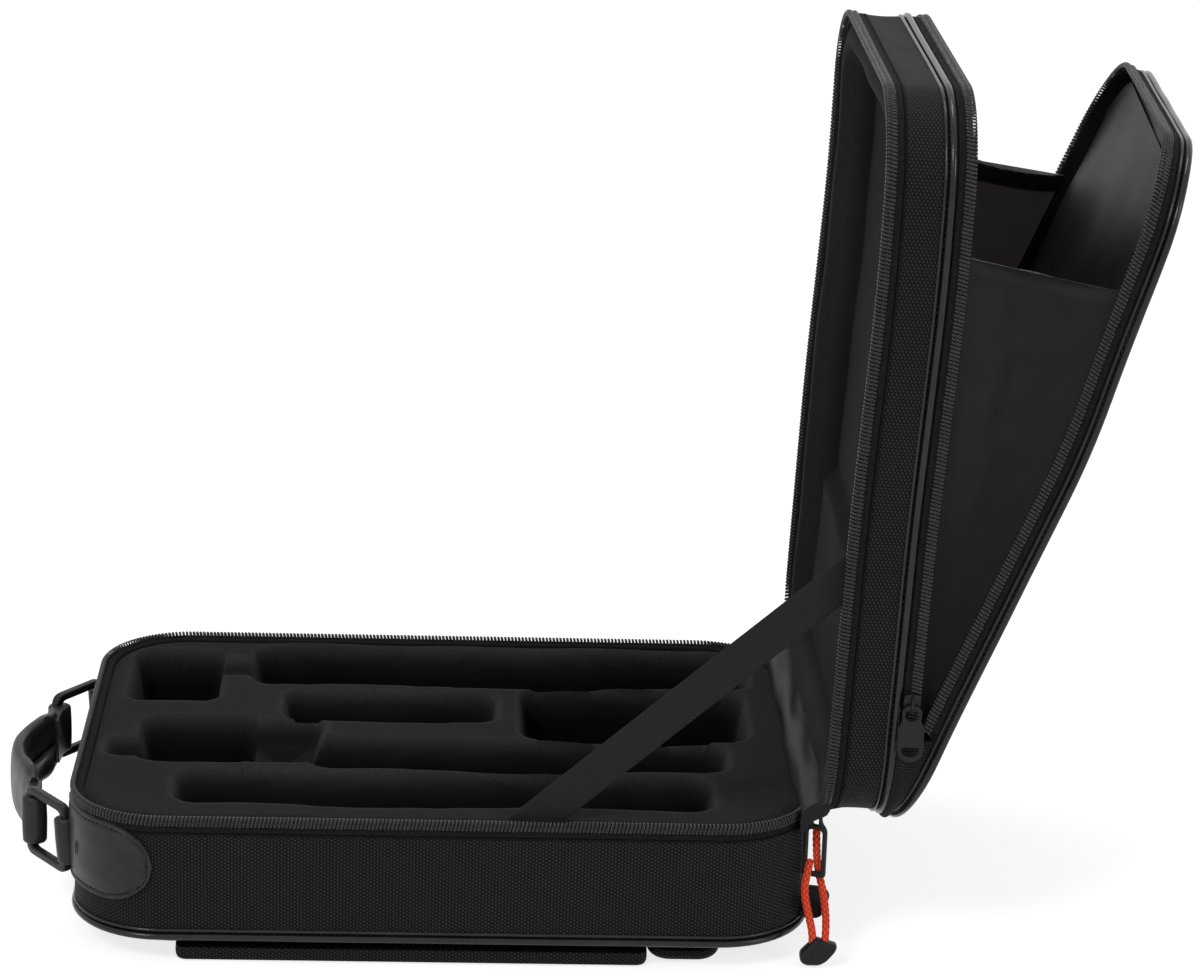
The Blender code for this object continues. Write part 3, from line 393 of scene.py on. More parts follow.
class Shader:
    """A material on one Principled BSDF, built from expressions on sockets."""

    def __init__(
        self,
        name: str,
        roughness: float = 0.8,
        metallic: float = 0.0,
        uniform: dict[str, object] | None = None,
    ) -> None:
        self.material = bpy.data.materials.new(name)
        self.material.use_nodes = True
        self.tree = self.material.node_tree
        self.bsdf = self.tree.nodes["Principled BSDF"]
        self.bsdf.inputs["Roughness"].default_value = roughness
        self.bsdf.inputs["Metallic"].default_value = metallic
        for key, value in (uniform or {}).items():
            self.bsdf.inputs[key].default_value = value

    def node(self, kind: str, settings: dict[str, object] | None = None, *values: object) -> list[Socket]:
        """Adds a node.

        Args:
            kind: the node's type.
            settings: its properties, set first.
            values: what its first inputs get: a number, a Socket, or None to leave one alone.

        Returns:
            Its outputs.
        """
        made = self.tree.nodes.new(kind)
        for key, value in (settings or {}).items():
            setattr(made, key, value)
        for socket, value in zip(made.inputs, values):
            self.put(socket, value)
        return [Socket(self, socket) for socket in made.outputs]

    def put(self, socket: bpy.types.NodeSocket, value: object) -> None:
        """Links or sets one input."""
        if isinstance(value, Socket):
            self.tree.links.new(value.socket, socket)
        elif value is not None:
            socket.default_value = value

    def uv(self) -> tuple[Socket, Socket]:
        """The piece's own U and V, in metres."""
        vector = self.node("ShaderNodeTexCoord")[2]
        x, y, _ = self.node("ShaderNodeSeparateXYZ", None, vector)
        return x, y

    def place(self) -> Socket:
        """The point's place on the object."""
        return self.node("ShaderNodeTexCoord")[3]

    def noise(self, scale: float, detail: float = 3, roughness: float = 0.55) -> Socket:
        """Soft noise on the object, with scale to the metre."""
        return self.node("ShaderNodeTexNoise", None, self.place(), None, scale, detail, roughness)[0]

    def vertex_value(self, name: str) -> Socket:
        """A number that the mesh carries at its points."""
        return self.node("ShaderNodeAttribute", {"attribute_name": name})[2]

    def mix(self, factor: object, a: Sequence[float] | Socket, b: Sequence[float] | Socket) -> Socket:
        """A colour between a and b."""
        made = self.tree.nodes.new("ShaderNodeMix")
        made.data_type = "RGBA"
        made.clamp_factor = True
        self.put(made.inputs[0], factor)
        for index, value in ((6, a), (7, b)):
            self.put(made.inputs[index], value if isinstance(value, Socket) else (*value, 1.0))
        return Socket(self, made.outputs[2])

    def bump(self, height: Socket, distance: float, strength: float = 1.0) -> None:
        """Turns a height from 0 to 1 into the surface's relief."""
        made = self.tree.nodes.new("ShaderNodeBump")
        made.inputs["Strength"].default_value = strength
        made.inputs["Distance"].default_value = distance
        self.put(made.inputs["Height"], height)
        self.tree.links.new(made.outputs["Normal"], self.bsdf.inputs["Normal"])

    def colour(self, value: Socket | Sequence[float]) -> None:
        """What feeds the base colour."""
        self.put(self.bsdf.inputs["Base Color"], value if isinstance(value, Socket) else (*value, 1.0))

    def rough(self, value: Socket) -> None:
        """What feeds the roughness."""
        self.put(self.bsdf.inputs["Roughness"], value)


def grey(value: float, warm: float = 0.0) -> Colour:
    """A grey in linear light, a little warm or cool."""
    return (value * (1 + warm), value, value * (1 - warm))


@dataclass(frozen=True)
class BallisticCloth:
    """Coarse nylon: bright crossings in slanting rows, with dark pits between them."""

    name: str = "ballistic_cloth"
    column: float = 1.7 * MM
    row: float = 2.0 * MM
    shift: float = 0.9 * MM
    dark: Colour = grey(0.0036)
    light: Colour = grey(0.05, 0.01)

    def make(self) -> bpy.types.Material:
        """Builds the material."""
        s = Shader(self.name, 0.6, uniform={"Specular IOR Level": 0.07})
        u, v = s.uv()
        sheared = v - u * (self.shift / self.column)
        across = ((u / self.column).fraction() - 0.5) * self.column
        along = ((sheared / self.row).fraction() - 0.5) * self.row + across * (self.shift / self.column)
        reach = ((across / (0.8 * MM)).power(2) + (along / (0.72 * MM)).power(2)).power(0.5)
        crossing = 1 - reach.step(0.2, 1.1)
        patches = s.noise(7.0, 2)
        fuzz = s.noise(1100.0, 2)
        tone = crossing * (0.45 + patches * 0.5) + fuzz * 0.16 - 0.06
        s.colour(s.mix(tone, self.dark, self.light))
        s.bump(crossing + fuzz * 0.25, 0.5 * MM, 0.8)
        return s.material


@dataclass(frozen=True)
class ZipTape:
    """The finely ribbed tape of a zip and the binding beside it, with painted shade along its seam's groove
    and under its coil.
    """

    name: str = "zip_tape"
    rib: float = 0.8 * MM

    def make(self) -> bpy.types.Material:
        """Builds the material."""
        s = Shader(self.name, 0.75, uniform={"Specular IOR Level": 0.05})
        u, v = s.uv()
        ribs = (v * (2 * pi / self.rib) + u * (2 * pi / self.rib)).sine()
        fuzz = s.noise(700.0, 2)
        tone = ribs * 0.12 + fuzz * 0.75
        # The mesh's shade darkens the seam's groove and the tape under the coil: painted shade.
        s.colour(s.mix(tone * s.vertex_value("shade").step(0.0, 0.5), grey(0.0025), grey(0.022)))
        s.bump(ribs * 0.4 + fuzz * 0.6, 0.12 * MM, 0.6)
        return s.material


@dataclass(frozen=True)
class CoilNylon:
    """The smooth nylon of zip coils."""

    name: str = "zip_coil"
    dark: Colour = grey(0.008)
    light: Colour = grey(0.04)

    def make(self) -> bpy.types.Material:
        """Builds the material."""
        s = Shader(self.name, 0.26, uniform={"Specular IOR Level": 0.2})
        s.colour(s.mix(s.noise(260.0, 2), self.dark, self.light))
        return s.material


@dataclass(frozen=True)
class PipingVinyl:
    """Glossy coated cord along the edges, scuffed here and there."""

    name: str = "piping_vinyl"

    def make(self) -> bpy.types.Material:
        """Builds the material."""
        s = Shader(self.name, 0.3, uniform={"Specular IOR Level": 0.3})
        wear = s.noise(60.0, 3)
        s.colour(s.mix(wear, grey(0.003), grey(0.016)))
        s.rough(wear * 0.2 + 0.1)
        s.bump(s.noise(420.0, 3), 0.15 * MM, 0.5)
        return s.material


@dataclass(frozen=True)
class Plush:
    """Short flocked plush, with painted shade where it is deep and a painted sheen on rounded edges, both
    read from the mesh's shade.
    """

    name: str = "plush"
    # deep is the colour of the painted shade, edge the colour of the painted sheen.
    deep: Colour = grey(0.0026)
    edge: Colour = grey(0.036)

    def make(self) -> bpy.types.Material:
        """Builds the material."""
        uniform = {"Specular IOR Level": 0.04, "Sheen Weight": 0.035, "Sheen Tint": (0.8, 0.8, 0.8, 1.0)}
        s = Shader(self.name, 0.95, uniform=uniform)
        pile = s.noise(900.0, 3, 0.7)
        cloud = s.noise(24.0, 3)
        # The mesh's shade is painted light: low in hollows as painted shade, high on rounded edges as a
        # painted sheen.
        tone = s.vertex_value("shade") * (pile * 1.6 + 0.2) + cloud * 0.2 - 0.09
        s.colour(s.mix(tone, self.deep, self.edge))
        s.bump(pile + cloud * 0.3, 0.5 * MM, 0.6)
        return s.material


@dataclass(frozen=True)
class SatinLining:
    """Smooth woven lining with a soft shine; where glow is set, it also has a painted glow."""

    name: str = "satin_lining"
    dark: Colour = grey(0.005, 0.01)
    light: Colour = grey(0.022, 0.01)
    thread: float = 0.8 * MM
    # glow: the strength of a painted glow.
    glow: float = 0.0

    def make(self) -> bpy.types.Material:
        """Builds the material."""
        s = Shader(self.name, 0.42, uniform={"Specular IOR Level": 0.12})
        u, v = s.uv()
        threads = (u * (2 * pi / self.thread)).sine() * (v * (2 * pi / self.thread)).sine()
        cloud = s.noise(14.0, 3)
        # The mesh's shade gives the hems' bands, and painted shade where it is low towards the near gusset's
        # narrow end.
        hem = s.vertex_value("shade")
        woven = s.mix(cloud * 0.8 - 0.1 + threads * 0.12 + (hem - 0.5), self.dark, self.light)
        s.colour(woven)
        # Painted glow: the woven part, but not its hem, gives off its own colour, as though lit through from
        # behind.
        if self.glow:
            s.put(s.bsdf.inputs["Emission Color"], s.mix(hem.step(0.2, 0.5), (0.0, 0.0, 0.0), woven))
            s.bsdf.inputs["Emission Strength"].default_value = self.glow
        s.rough(cloud * 0.2 + 0.36)
        s.bump(threads, 0.08 * MM, 0.5)
        return s.material


@dataclass(frozen=True)
class Webbing:
    """Ribbed webbing, with V along it."""

    name: str = "webbing"
    light: Colour = grey(0.032)
    rib: float = 1.5 * MM

    def make(self) -> bpy.types.Material:
        """Builds the material."""
        s = Shader(self.name, 0.66, uniform={"Specular IOR Level": 0.06})
        u, v = s.uv()
        ribs = (u * (pi / self.rib)).sine().size()
        picks = (v * (2 * pi / (1.3 * MM)) + u * (2 * pi / (1.5 * MM))).sine() * 0.5 + 0.5
        fuzz = s.noise(900.0, 2)
        s.colour(s.mix(ribs * 0.3 + picks * 0.35 + fuzz * 0.35, grey(0.006), self.light))
        s.bump(ribs * 0.4 + picks * 0.6, 0.3 * MM, 0.7)
        return s.material


@dataclass(frozen=True)
class Grained:
    """Leather or rubber with fine grain and soft creases."""

    name: str
    tone: float
    roughness: float
    grain: float = 1000.0

    def make(self) -> bpy.types.Material:
        """Builds the material."""
        s = Shader(self.name, self.roughness, uniform={"Specular IOR Level": 0.2})
        edges = {"feature": "DISTANCE_TO_EDGE"}
        cells = s.node("ShaderNodeTexVoronoi", edges, s.place(), None, self.grain)[0]
        folds = s.noise(80.0, 4)
        # A shade below 0.5 darkens the colour: painted shade in the corner patch's stitched groove.
        tone = (folds * 1.3 - 0.25 + cells * 0.35) * s.vertex_value("shade").step(0.0, 0.5)
        s.colour(s.mix(tone, grey(self.tone * 0.4), grey(self.tone * 1.4)))
        s.rough(folds * 0.3 + (self.roughness - 0.15))
        s.bump(cells * 0.7 + folds * 0.6, 0.22 * MM, 0.5)
        return s.material


@dataclass(frozen=True)
class BlackMetal:
    """Painted zinc, rubbed in patches."""

    name: str = "black_metal"

    def make(self) -> bpy.types.Material:
        """Builds the material."""
        s = Shader(self.name, 0.3, metallic=0.1, uniform={"Specular IOR Level": 0.22})
        wear = s.noise(140.0, 4)
        s.colour(s.mix(wear, grey(0.004), grey(0.018)))
        s.rough(wear * 0.3 + 0.2)
        s.bump(wear, 0.05 * MM, 0.4)
        return s.material


@dataclass(frozen=True)
class OrangeBraid:
    """The braid's fibres. Its strands are in the mesh, whose shade is higher on top of them and low in the
    valleys between them, which get painted shade.
    """

    name: str = "orange_braid"
    valley_shade: Colour = (0.42, 0.022, 0.008)
    ridge: Colour = (1.0, 0.115, 0.040)

    def make(self) -> bpy.types.Material:
        """Builds the material."""
        s = Shader(self.name, 0.62, uniform={"Sheen Weight": 0.05, "Specular IOR Level": 0.15})
        fibre = s.noise(1800.0, 2)
        s.colour(s.mix(s.vertex_value("shade") * 0.85 + fibre * 0.3 - 0.1, self.valley_shade, self.ridge))
        s.bump(fibre, 0.15 * MM, 0.6)
        return s.material


@dataclass(frozen=True)
class Thread:
    """Sewing thread."""

    name: str = "thread"

    def make(self) -> bpy.types.Material:
        """Builds the material."""
        s = Shader(self.name, 0.6, uniform={"Specular IOR Level": 0.3})
        s.colour(s.mix(s.noise(900.0, 2), grey(0.004), grey(0.018)))
        return s.material


class Finishes:
    """The materials, each made once."""

    def __init__(self) -> None:
        self.cloth = BallisticCloth().make()
        self.tape = ZipTape().make()
        self.coil = CoilNylon().make()
        self.vinyl = PipingVinyl().make()
        self.plush = Plush().make()
        self.satin = SatinLining().make()
        # The far gusset's net takes a painted glow of 0.35, as though lit through from behind.
        self.net = SatinLining("woven_gusset", grey(0.01, 0.1), grey(0.06, 0.12), 1.6 * MM, 0.35).make()
        self.webbing = Webbing().make()
        self.leather = Grained("leather", 0.024, 0.36).make()
        self.rubber = Grained("rubber", 0.011, 0.4, 1500.0).make()
        self.guard = Grained("guard_vinyl", 0.04, 0.42, 1400.0).make()
        self.metal = BlackMetal().make()
        self.braid = OrangeBraid().make()
        self.thread = Thread().make()


class Piece:
    """Gathers grids of points into one closed mesh, with UVs in metres."""

    def __init__(self, name: str, half: Half = Half.BASE) -> None:
        self.name, self.half = name, half
        self.points: list[Array] = []
        self.faces: list[list[int]] = []
        self.uvs: list[Array] = []
        self.slots: list[int] = []
        self.shades: list[Array] = []
        self.count = 0

    def _add(self, points: Array, faces: Array, uv: Array, slot: int, shade: Array) -> None:
        """Keeps points, the faces between them, a UV of each point and a shade of each."""
        self.points.append(points)
        self.faces += (faces + self.count).tolist()
        self.uvs.append(uv[faces].reshape(-1, 2))
        self.slots += [slot] * len(faces)
        self.shades.append(shade)
        self.count += len(points)

    def grid(self, points: Array, uv: Array | None = None, slot: int = 0, shade: Array | float = 0.5) -> None:
        """Adds a grid of quads.

        Args:
            points: rows by columns by 3.
            uv: rows by columns by 2, or None for one worked out from the lengths of rows and columns.
            slot: the material's slot.
            shade: a value of each point, for a material that reads it.
        """
        rows, columns = points.shape[:2]
        if uv is None:
            along = np.linalg.norm(np.diff(points, axis=0), axis=2).mean(axis=1)
            across = np.linalg.norm(np.diff(points, axis=1), axis=2).mean(axis=0)
            u = np.concatenate([[0], np.cumsum(across)])
            v = np.concatenate([[0], np.cumsum(along)])
            uv = np.stack(np.meshgrid(u, v), axis=2)
        index = np.arange(rows * columns).reshape(rows, columns)
        quads = np.stack([index[:-1, :-1], index[:-1, 1:], index[1:, 1:], index[1:, :-1]], axis=2)
        shades = np.broadcast_to(shade, (rows, columns)).reshape(-1)
        self._add(points.reshape(-1, 3), quads.reshape(-1, 4), uv.reshape(-1, 2), slot, shades)

    def cap(self, ring: Array, slot: int = 0, shade: float = 0.5) -> None:
        """Closes a ring of points with a fan towards its middle."""
        self.grid(np.stack([ring, np.broadcast_to(ring.mean(axis=0), ring.shape)]), slot=slot, shade=shade)

    def tube(self, grid: Array, slot: int = 0, shade: Array | float = 0.5, closed: bool = False) -> None:
        """Adds a swept grid and, unless its path is closed, both its ends."""
        self.grid(grid, slot=slot, shade=shade)
        if not closed:
            self.cap(grid[0], slot)
            self.cap(grid[-1], slot)

    def plate(self, outlines: Sequence[Array], thickness: float, bevel: float, place: Matrix) -> None:
        """Adds a flat plate with rounded edges and holes.

        Args:
            outlines: the outer outline first and then its holes, as N by 2 without a repeated point.
            thickness: the plate's thickness.
            bevel: the radius of its edges.
            place: takes the plate's plane to its place.
        """
        turn, origin = np.array(place.to_3x3()), np.array(place.translation)
        loops = []
        for number, outline in enumerate(outlines):
            ahead = np.roll(outline, -1, axis=0) - np.roll(outline, 1, axis=0)
            inward = unit(np.stack([-ahead[:, 1], ahead[:, 0]], axis=1))
            following = np.roll(outline, -1, axis=0)
            area = np.sum(outline[:, 0] * following[:, 1] - following[:, 0] * outline[:, 1])
            inward = inward * (1 if area > 0 else -1) * (1 if number == 0 else -1)
            loops.append((outline, inward))
            rows = []
            for k in range(5):
                angle = pi / 8 * k
                flat = outline + inward * bevel * (1 - sin(angle))
                height = -thickness / 2 + bevel * (1 - cos(angle))
                rows.append(np.column_stack([flat, np.full(len(flat), height)]))
            rows += [row * (1, 1, -1) for row in reversed(rows)]
            grid = np.stack(rows)
            grid = np.concatenate([grid, grid[:, :1]], axis=1)
            self.grid(grid @ turn.T + origin)
        rims = [outline + inward * bevel for outline, inward in loops]
        triangles = np.array(tessellate_polygon([[Vector((*point, 0)) for point in rim] for rim in rims]))
        flat = np.concatenate(rims)
        for z in (-thickness / 2, thickness / 2):
            points = np.column_stack([flat, np.full(len(flat), z)]) @ turn.T + origin
            self._add(points, triangles, flat, 0, np.full(len(flat), 0.5))

    def build(self, materials: Sequence[bpy.types.Material], sharp: float = 40.0) -> bpy.types.Object:
        """Welds the grids, opens them with their half, and links the finished object.

        Args:
            materials: one for each slot.
            sharp: edges that turn more than these degrees stay sharp.

        Returns:
            The object, at the origin.
        """
        points = Fold.open(np.concatenate(self.points), self.half)
        mesh = bpy.data.meshes.new(self.name)
        mesh.from_pydata(points.tolist(), [], self.faces)
        layer = mesh.uv_layers.new(name="UVMap")
        layer.data.foreach_set("uv", np.concatenate(self.uvs).astype(np.float32).reshape(-1))
        mesh.polygons.foreach_set("material_index", np.array(self.slots, np.int32))
        shade = mesh.attributes.new("shade", "FLOAT", "POINT")
        shade.data.foreach_set("value", np.concatenate(self.shades).astype(np.float32))
        bm = bmesh.new()
        bm.from_mesh(mesh)
        bmesh.ops.remove_doubles(bm, verts=bm.verts, dist=0.01 * MM)
        bmesh.ops.dissolve_degenerate(bm, edges=bm.edges, dist=0.001 * MM)
        bmesh.ops.recalc_face_normals(bm, faces=bm.faces)
        bm.to_mesh(mesh)
        bm.free()
        mesh.shade_smooth()
        mesh.set_sharp_from_angle(angle=radians(sharp))
        for material in materials:
            mesh.materials.append(material)
        obj = bpy.data.objects.new(self.name, mesh)
        bpy.context.scene.collection.objects.link(obj)
        LOG.info("%s: %d faces", self.name, len(mesh.polygons))
        return obj


def settle(obj: bpy.types.Object, body: str, slot: str, *nodes: str) -> bpy.types.Object:
    """Puts a piece on its body, for the CAD nodes that it stands for.

    Args:
        obj: the piece.
        body: the body that it rides on.
        slot: the record's finish for it; not used.
        nodes: what it replaces.

    Returns:
        The piece.
    """
    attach(obj, body)
    if nodes:
        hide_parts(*nodes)
    return obj


def settle_between(
    obj: bpy.types.Object, bodies: tuple[str, str], ends: Array, slot: str, *nodes: str
) -> bpy.types.Object:
    """Bakes the place of a piece that lies between two bodies into its mesh.

    Args:
        obj: the piece.
        bodies: the body at each end; not used.
        ends: the two points between which it passes from one body to the other; not used.
        slot: the record's finish for it; not used.
        nodes: what it replaces.

    Returns:
        The piece.
    """
    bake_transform(obj)
    if nodes:
        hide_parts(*nodes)
    return obj


class Repeater:
    """A Geometry Nodes tree that sets copies of a shape at even steps along a path."""

    INPUTS = (
        ("Geometry", "NodeSocketGeometry"),
        ("Pitch", "NodeSocketFloat"),
        ("Shape", "NodeSocketObject"),
        ("Finish", "NodeSocketMaterial"),
        ("Unevenness", "NodeSocketFloat"),
        ("Seed", "NodeSocketInt"),
    )

    def __init__(self) -> None:
        tree = bpy.data.node_groups.new("repeat_along_path", "GeometryNodeTree")
        for name, kind in self.INPUTS:
            tree.interface.new_socket(name, in_out="INPUT", socket_type=kind)
        tree.interface.new_socket("Geometry", in_out="OUTPUT", socket_type="NodeSocketGeometry")
        self.tree = tree
        entry, leave = tree.nodes.new("NodeGroupInput"), tree.nodes.new("NodeGroupOutput")
        curve = tree.nodes.new("GeometryNodeMeshToCurve")
        even = tree.nodes.new("GeometryNodeResampleCurve")
        even.mode = "LENGTH"
        shape = tree.nodes.new("GeometryNodeObjectInfo")
        less, size = tree.nodes.new("ShaderNodeMath"), tree.nodes.new("ShaderNodeMath")
        less.operation, size.operation = "MULTIPLY", "ADD"
        less.inputs[1].default_value, size.inputs[1].default_value = -1.0, 1.0
        spread = tree.nodes.new("FunctionNodeRandomValue")
        turn = tree.nodes.new("FunctionNodeAxesToRotation")
        turn.primary_axis, turn.secondary_axis = "Z", "X"
        copies = tree.nodes.new("GeometryNodeInstanceOnPoints")
        real = tree.nodes.new("GeometryNodeRealizeInstances")
        dress = tree.nodes.new("GeometryNodeSetMaterial")
        for index, name in ((0, "height"), (1, "across")):
            read = tree.nodes.new("GeometryNodeInputNamedAttribute")
            read.data_type = "FLOAT_VECTOR"
            read.inputs["Name"].default_value = name
            tree.links.new(read.outputs["Attribute"], turn.inputs[index])
        links = (
            (entry.outputs["Geometry"], curve.inputs["Mesh"]),
            (curve.outputs["Curve"], even.inputs["Curve"]),
            (entry.outputs["Pitch"], even.inputs["Length"]),
            (entry.outputs["Shape"], shape.inputs["Object"]),
            (entry.outputs["Unevenness"], less.inputs[0]),
            (less.outputs[0], spread.inputs[2]),
            (entry.outputs["Unevenness"], spread.inputs[3]),
            (entry.outputs["Seed"], spread.inputs["Seed"]),
            (spread.outputs[1], size.inputs[0]),
            (even.outputs["Curve"], copies.inputs["Points"]),
            (shape.outputs["Geometry"], copies.inputs["Instance"]),
            (turn.outputs["Rotation"], copies.inputs["Rotation"]),
            (size.outputs[0], copies.inputs["Scale"]),
            (copies.outputs["Instances"], real.inputs["Geometry"]),
            (real.outputs["Geometry"], dress.inputs["Geometry"]),
            (entry.outputs["Finish"], dress.inputs["Material"]),
            (dress.outputs["Geometry"], leave.inputs["Geometry"]),
        )
        for source, target in links:
            tree.links.new(source, target)

    def along(
        self,
        name: str,
        path: Array,
        across: Array,
        height: Array,
        shape: Array,
        material: bpy.types.Material,
        pitch: float,
        unevenness: float = 0.0,
        seed: int = 3,
    ) -> bpy.types.Object:
        """Makes one plain mesh of the copies.

        Args:
            name: the piece's name.
            path: N points.
            across: each point's direction for the shape's X.
            height: each point's direction for the shape's Z.
            shape: rows by columns by 3, the shape's grid.
            material: the copies' material.
            pitch: the distance between copies.
            unevenness: how much their sizes vary, as a share.
            seed: picks the variation.

        Returns:
            The piece.
        """
        copied = Piece(f"{name}_shape")
        copied.tube(shape)
        template = copied.build([material], 60)
        mesh = bpy.data.meshes.new(f"{name}_path")
        mesh.from_pydata(path.tolist(), [(i, i + 1) for i in range(len(path) - 1)], [])
        for key, values in (("across", across), ("height", height)):
            layer = mesh.attributes.new(key, "FLOAT_VECTOR", "POINT")
            layer.data.foreach_set("vector", values.astype(np.float32).reshape(-1))
        host = bpy.data.objects.new(f"{name}_path", mesh)
        bpy.context.scene.collection.objects.link(host)
        modifier = host.modifiers.new("repeat", "NODES")
        modifier.node_group = self.tree
        values = {
            "Pitch": pitch,
            "Shape": template,
            "Finish": material,
            "Unevenness": unevenness,
            "Seed": seed,
        }
        for item in self.tree.interface.items_tree:
            if item.in_out == "INPUT" and item.name in values:
                modifier[item.identifier] = values[item.name]
        graph = bpy.context.evaluated_depsgraph_get()
        made = bpy.data.meshes.new_from_object(host.evaluated_get(graph), depsgraph=graph)
        made.name = name
        host.modifiers.remove(modifier)
        for helper in (host, template):
            data = helper.data
            bpy.data.objects.remove(helper)
            bpy.data.meshes.remove(data)
        obj = bpy.data.objects.new(name, made)
        bpy.context.scene.collection.objects.link(obj)
        LOG.info("%s: %d faces", name, len(made.polygons))
        return obj


def rounded(points: Sequence[Sequence[float]], radius: float, steps: int = 4) -> list[Array]:
    """A profile with its inner corners rounded."""
    made = [np.array(points[0], float)]
    for before, corner, after in zip(points, points[1:], points[2:]):
        a, b, c = (np.array(p, float) for p in (before, corner, after))
        reach = min(radius, np.linalg.norm(a - b) / 2.01, np.linalg.norm(c - b) / 2.01)
        start, end = b + unit(a - b) * reach, b + unit(c - b) * reach
        for step in range(steps + 1):
            t = step / steps
            made.append(start * (1 - t) ** 2 + 2 * b * t * (1 - t) + end * t * t)
    made.append(np.array(points[-1], float))
    return made


def rounded_loop(points: Sequence[Sequence[float]], radius: float, steps: int = 5) -> Array:
    """A closed polygon with rounded corners, as points without a repeat."""
    return np.array(rounded([points[-1], *points, points[0]], radius, steps)[1:-1])


def dense(profile: Sequence[Sequence[float]], spacing: float) -> Array:
    """A profile with more points along its long stretches."""
    made = [np.array(profile[0], float)]
    for a, b in zip(profile, profile[1:]):
        a, b = np.array(a, float), np.array(b, float)
        count = max(1, int(np.ceil(np.linalg.norm(b - a) / spacing)))
        made += [a + (b - a) * k / count for k in range(1, count + 1)]
    return np.array(made)


def wall_grid(profile: Array, run: slice = slice(None), outline: Outline = OUTLINE) -> tuple[Array, Array]:
    """The grid of a profile carried along an outline, with U along the outline and V along the profile."""
    rows = [outline.at(out, z)[run] for out, z in profile]
    v = np.concatenate([[0], np.cumsum(np.linalg.norm(np.diff(profile, axis=0), axis=1))])
    return np.stack(rows), np.stack(np.meshgrid(outline.along[run], v), axis=2)


def panel_grid(
    out: float, z: float, crown: float = 0.0, rings: int = 9, outline: Outline = OUTLINE
) -> tuple[Array, Array]:
    """A grid from the outline at out to its middle line, crowned by crown along Z."""
    rim = outline.at(out, z)
    spine = outline.spine(rim)
    rows = []
    for share in (np.arange(rings + 1) / rings) ** 1.3:
        row = rim + (spine - rim) * share
        row[:, 2] = z + crown * (1 - (1 - share) ** 2.4)
        rows.append(row)
    grid = np.stack(rows)
    return grid, grid[:, :, :2].copy()


def outward(points: Array) -> Array:
    """Roughly outward directions on a half of the case, level with its outline."""
    core = np.array((CASE.length / 2 - CASE.corner, CASE.width / 2 - CASE.corner))
    away = points[:, :2] - np.clip(points[:, :2], -core, core)
    return unit(np.column_stack([away, np.zeros(len(away))]))


def uneven(grid: Array, length: float, amount: float, seed: int, weight: Array | float = 1.0) -> Array:
    """Pushes a wall's points in and out by smooth waves."""
    flat = grid.reshape(-1, 3)
    push = waves(flat, length, seed) * amount * np.broadcast_to(weight, grid.shape[:2]).reshape(-1)
    return (flat + outward(flat) * push[:, None]).reshape(grid.shape)


def axes(origin: Sequence[float], x: Sequence[float], y: Sequence[float]) -> Matrix:
    """The place whose X and Y run along these directions."""
    first, second = Vector(x).normalized(), Vector(y).normalized()
    matrix = Matrix((first, second, first.cross(second))).transposed().to_4x4()
    return Matrix.Translation(origin) @ matrix


@dataclass(frozen=True)
class Level:
    """Heights of one half, counted from its zip's plane into the half."""

    plane: float
    sign: int

    def at(self, distance: float) -> float:
        """The height at a distance from the plane."""
        return self.plane + self.sign * distance


LEVELS = {
    "base": Level(CASE.rim, -1),
    "lid": Level(CASE.rim, 1),
    "pocket": Level(CASE.pocket, -1),
    "cover": Level(CASE.pocket, 1),
}


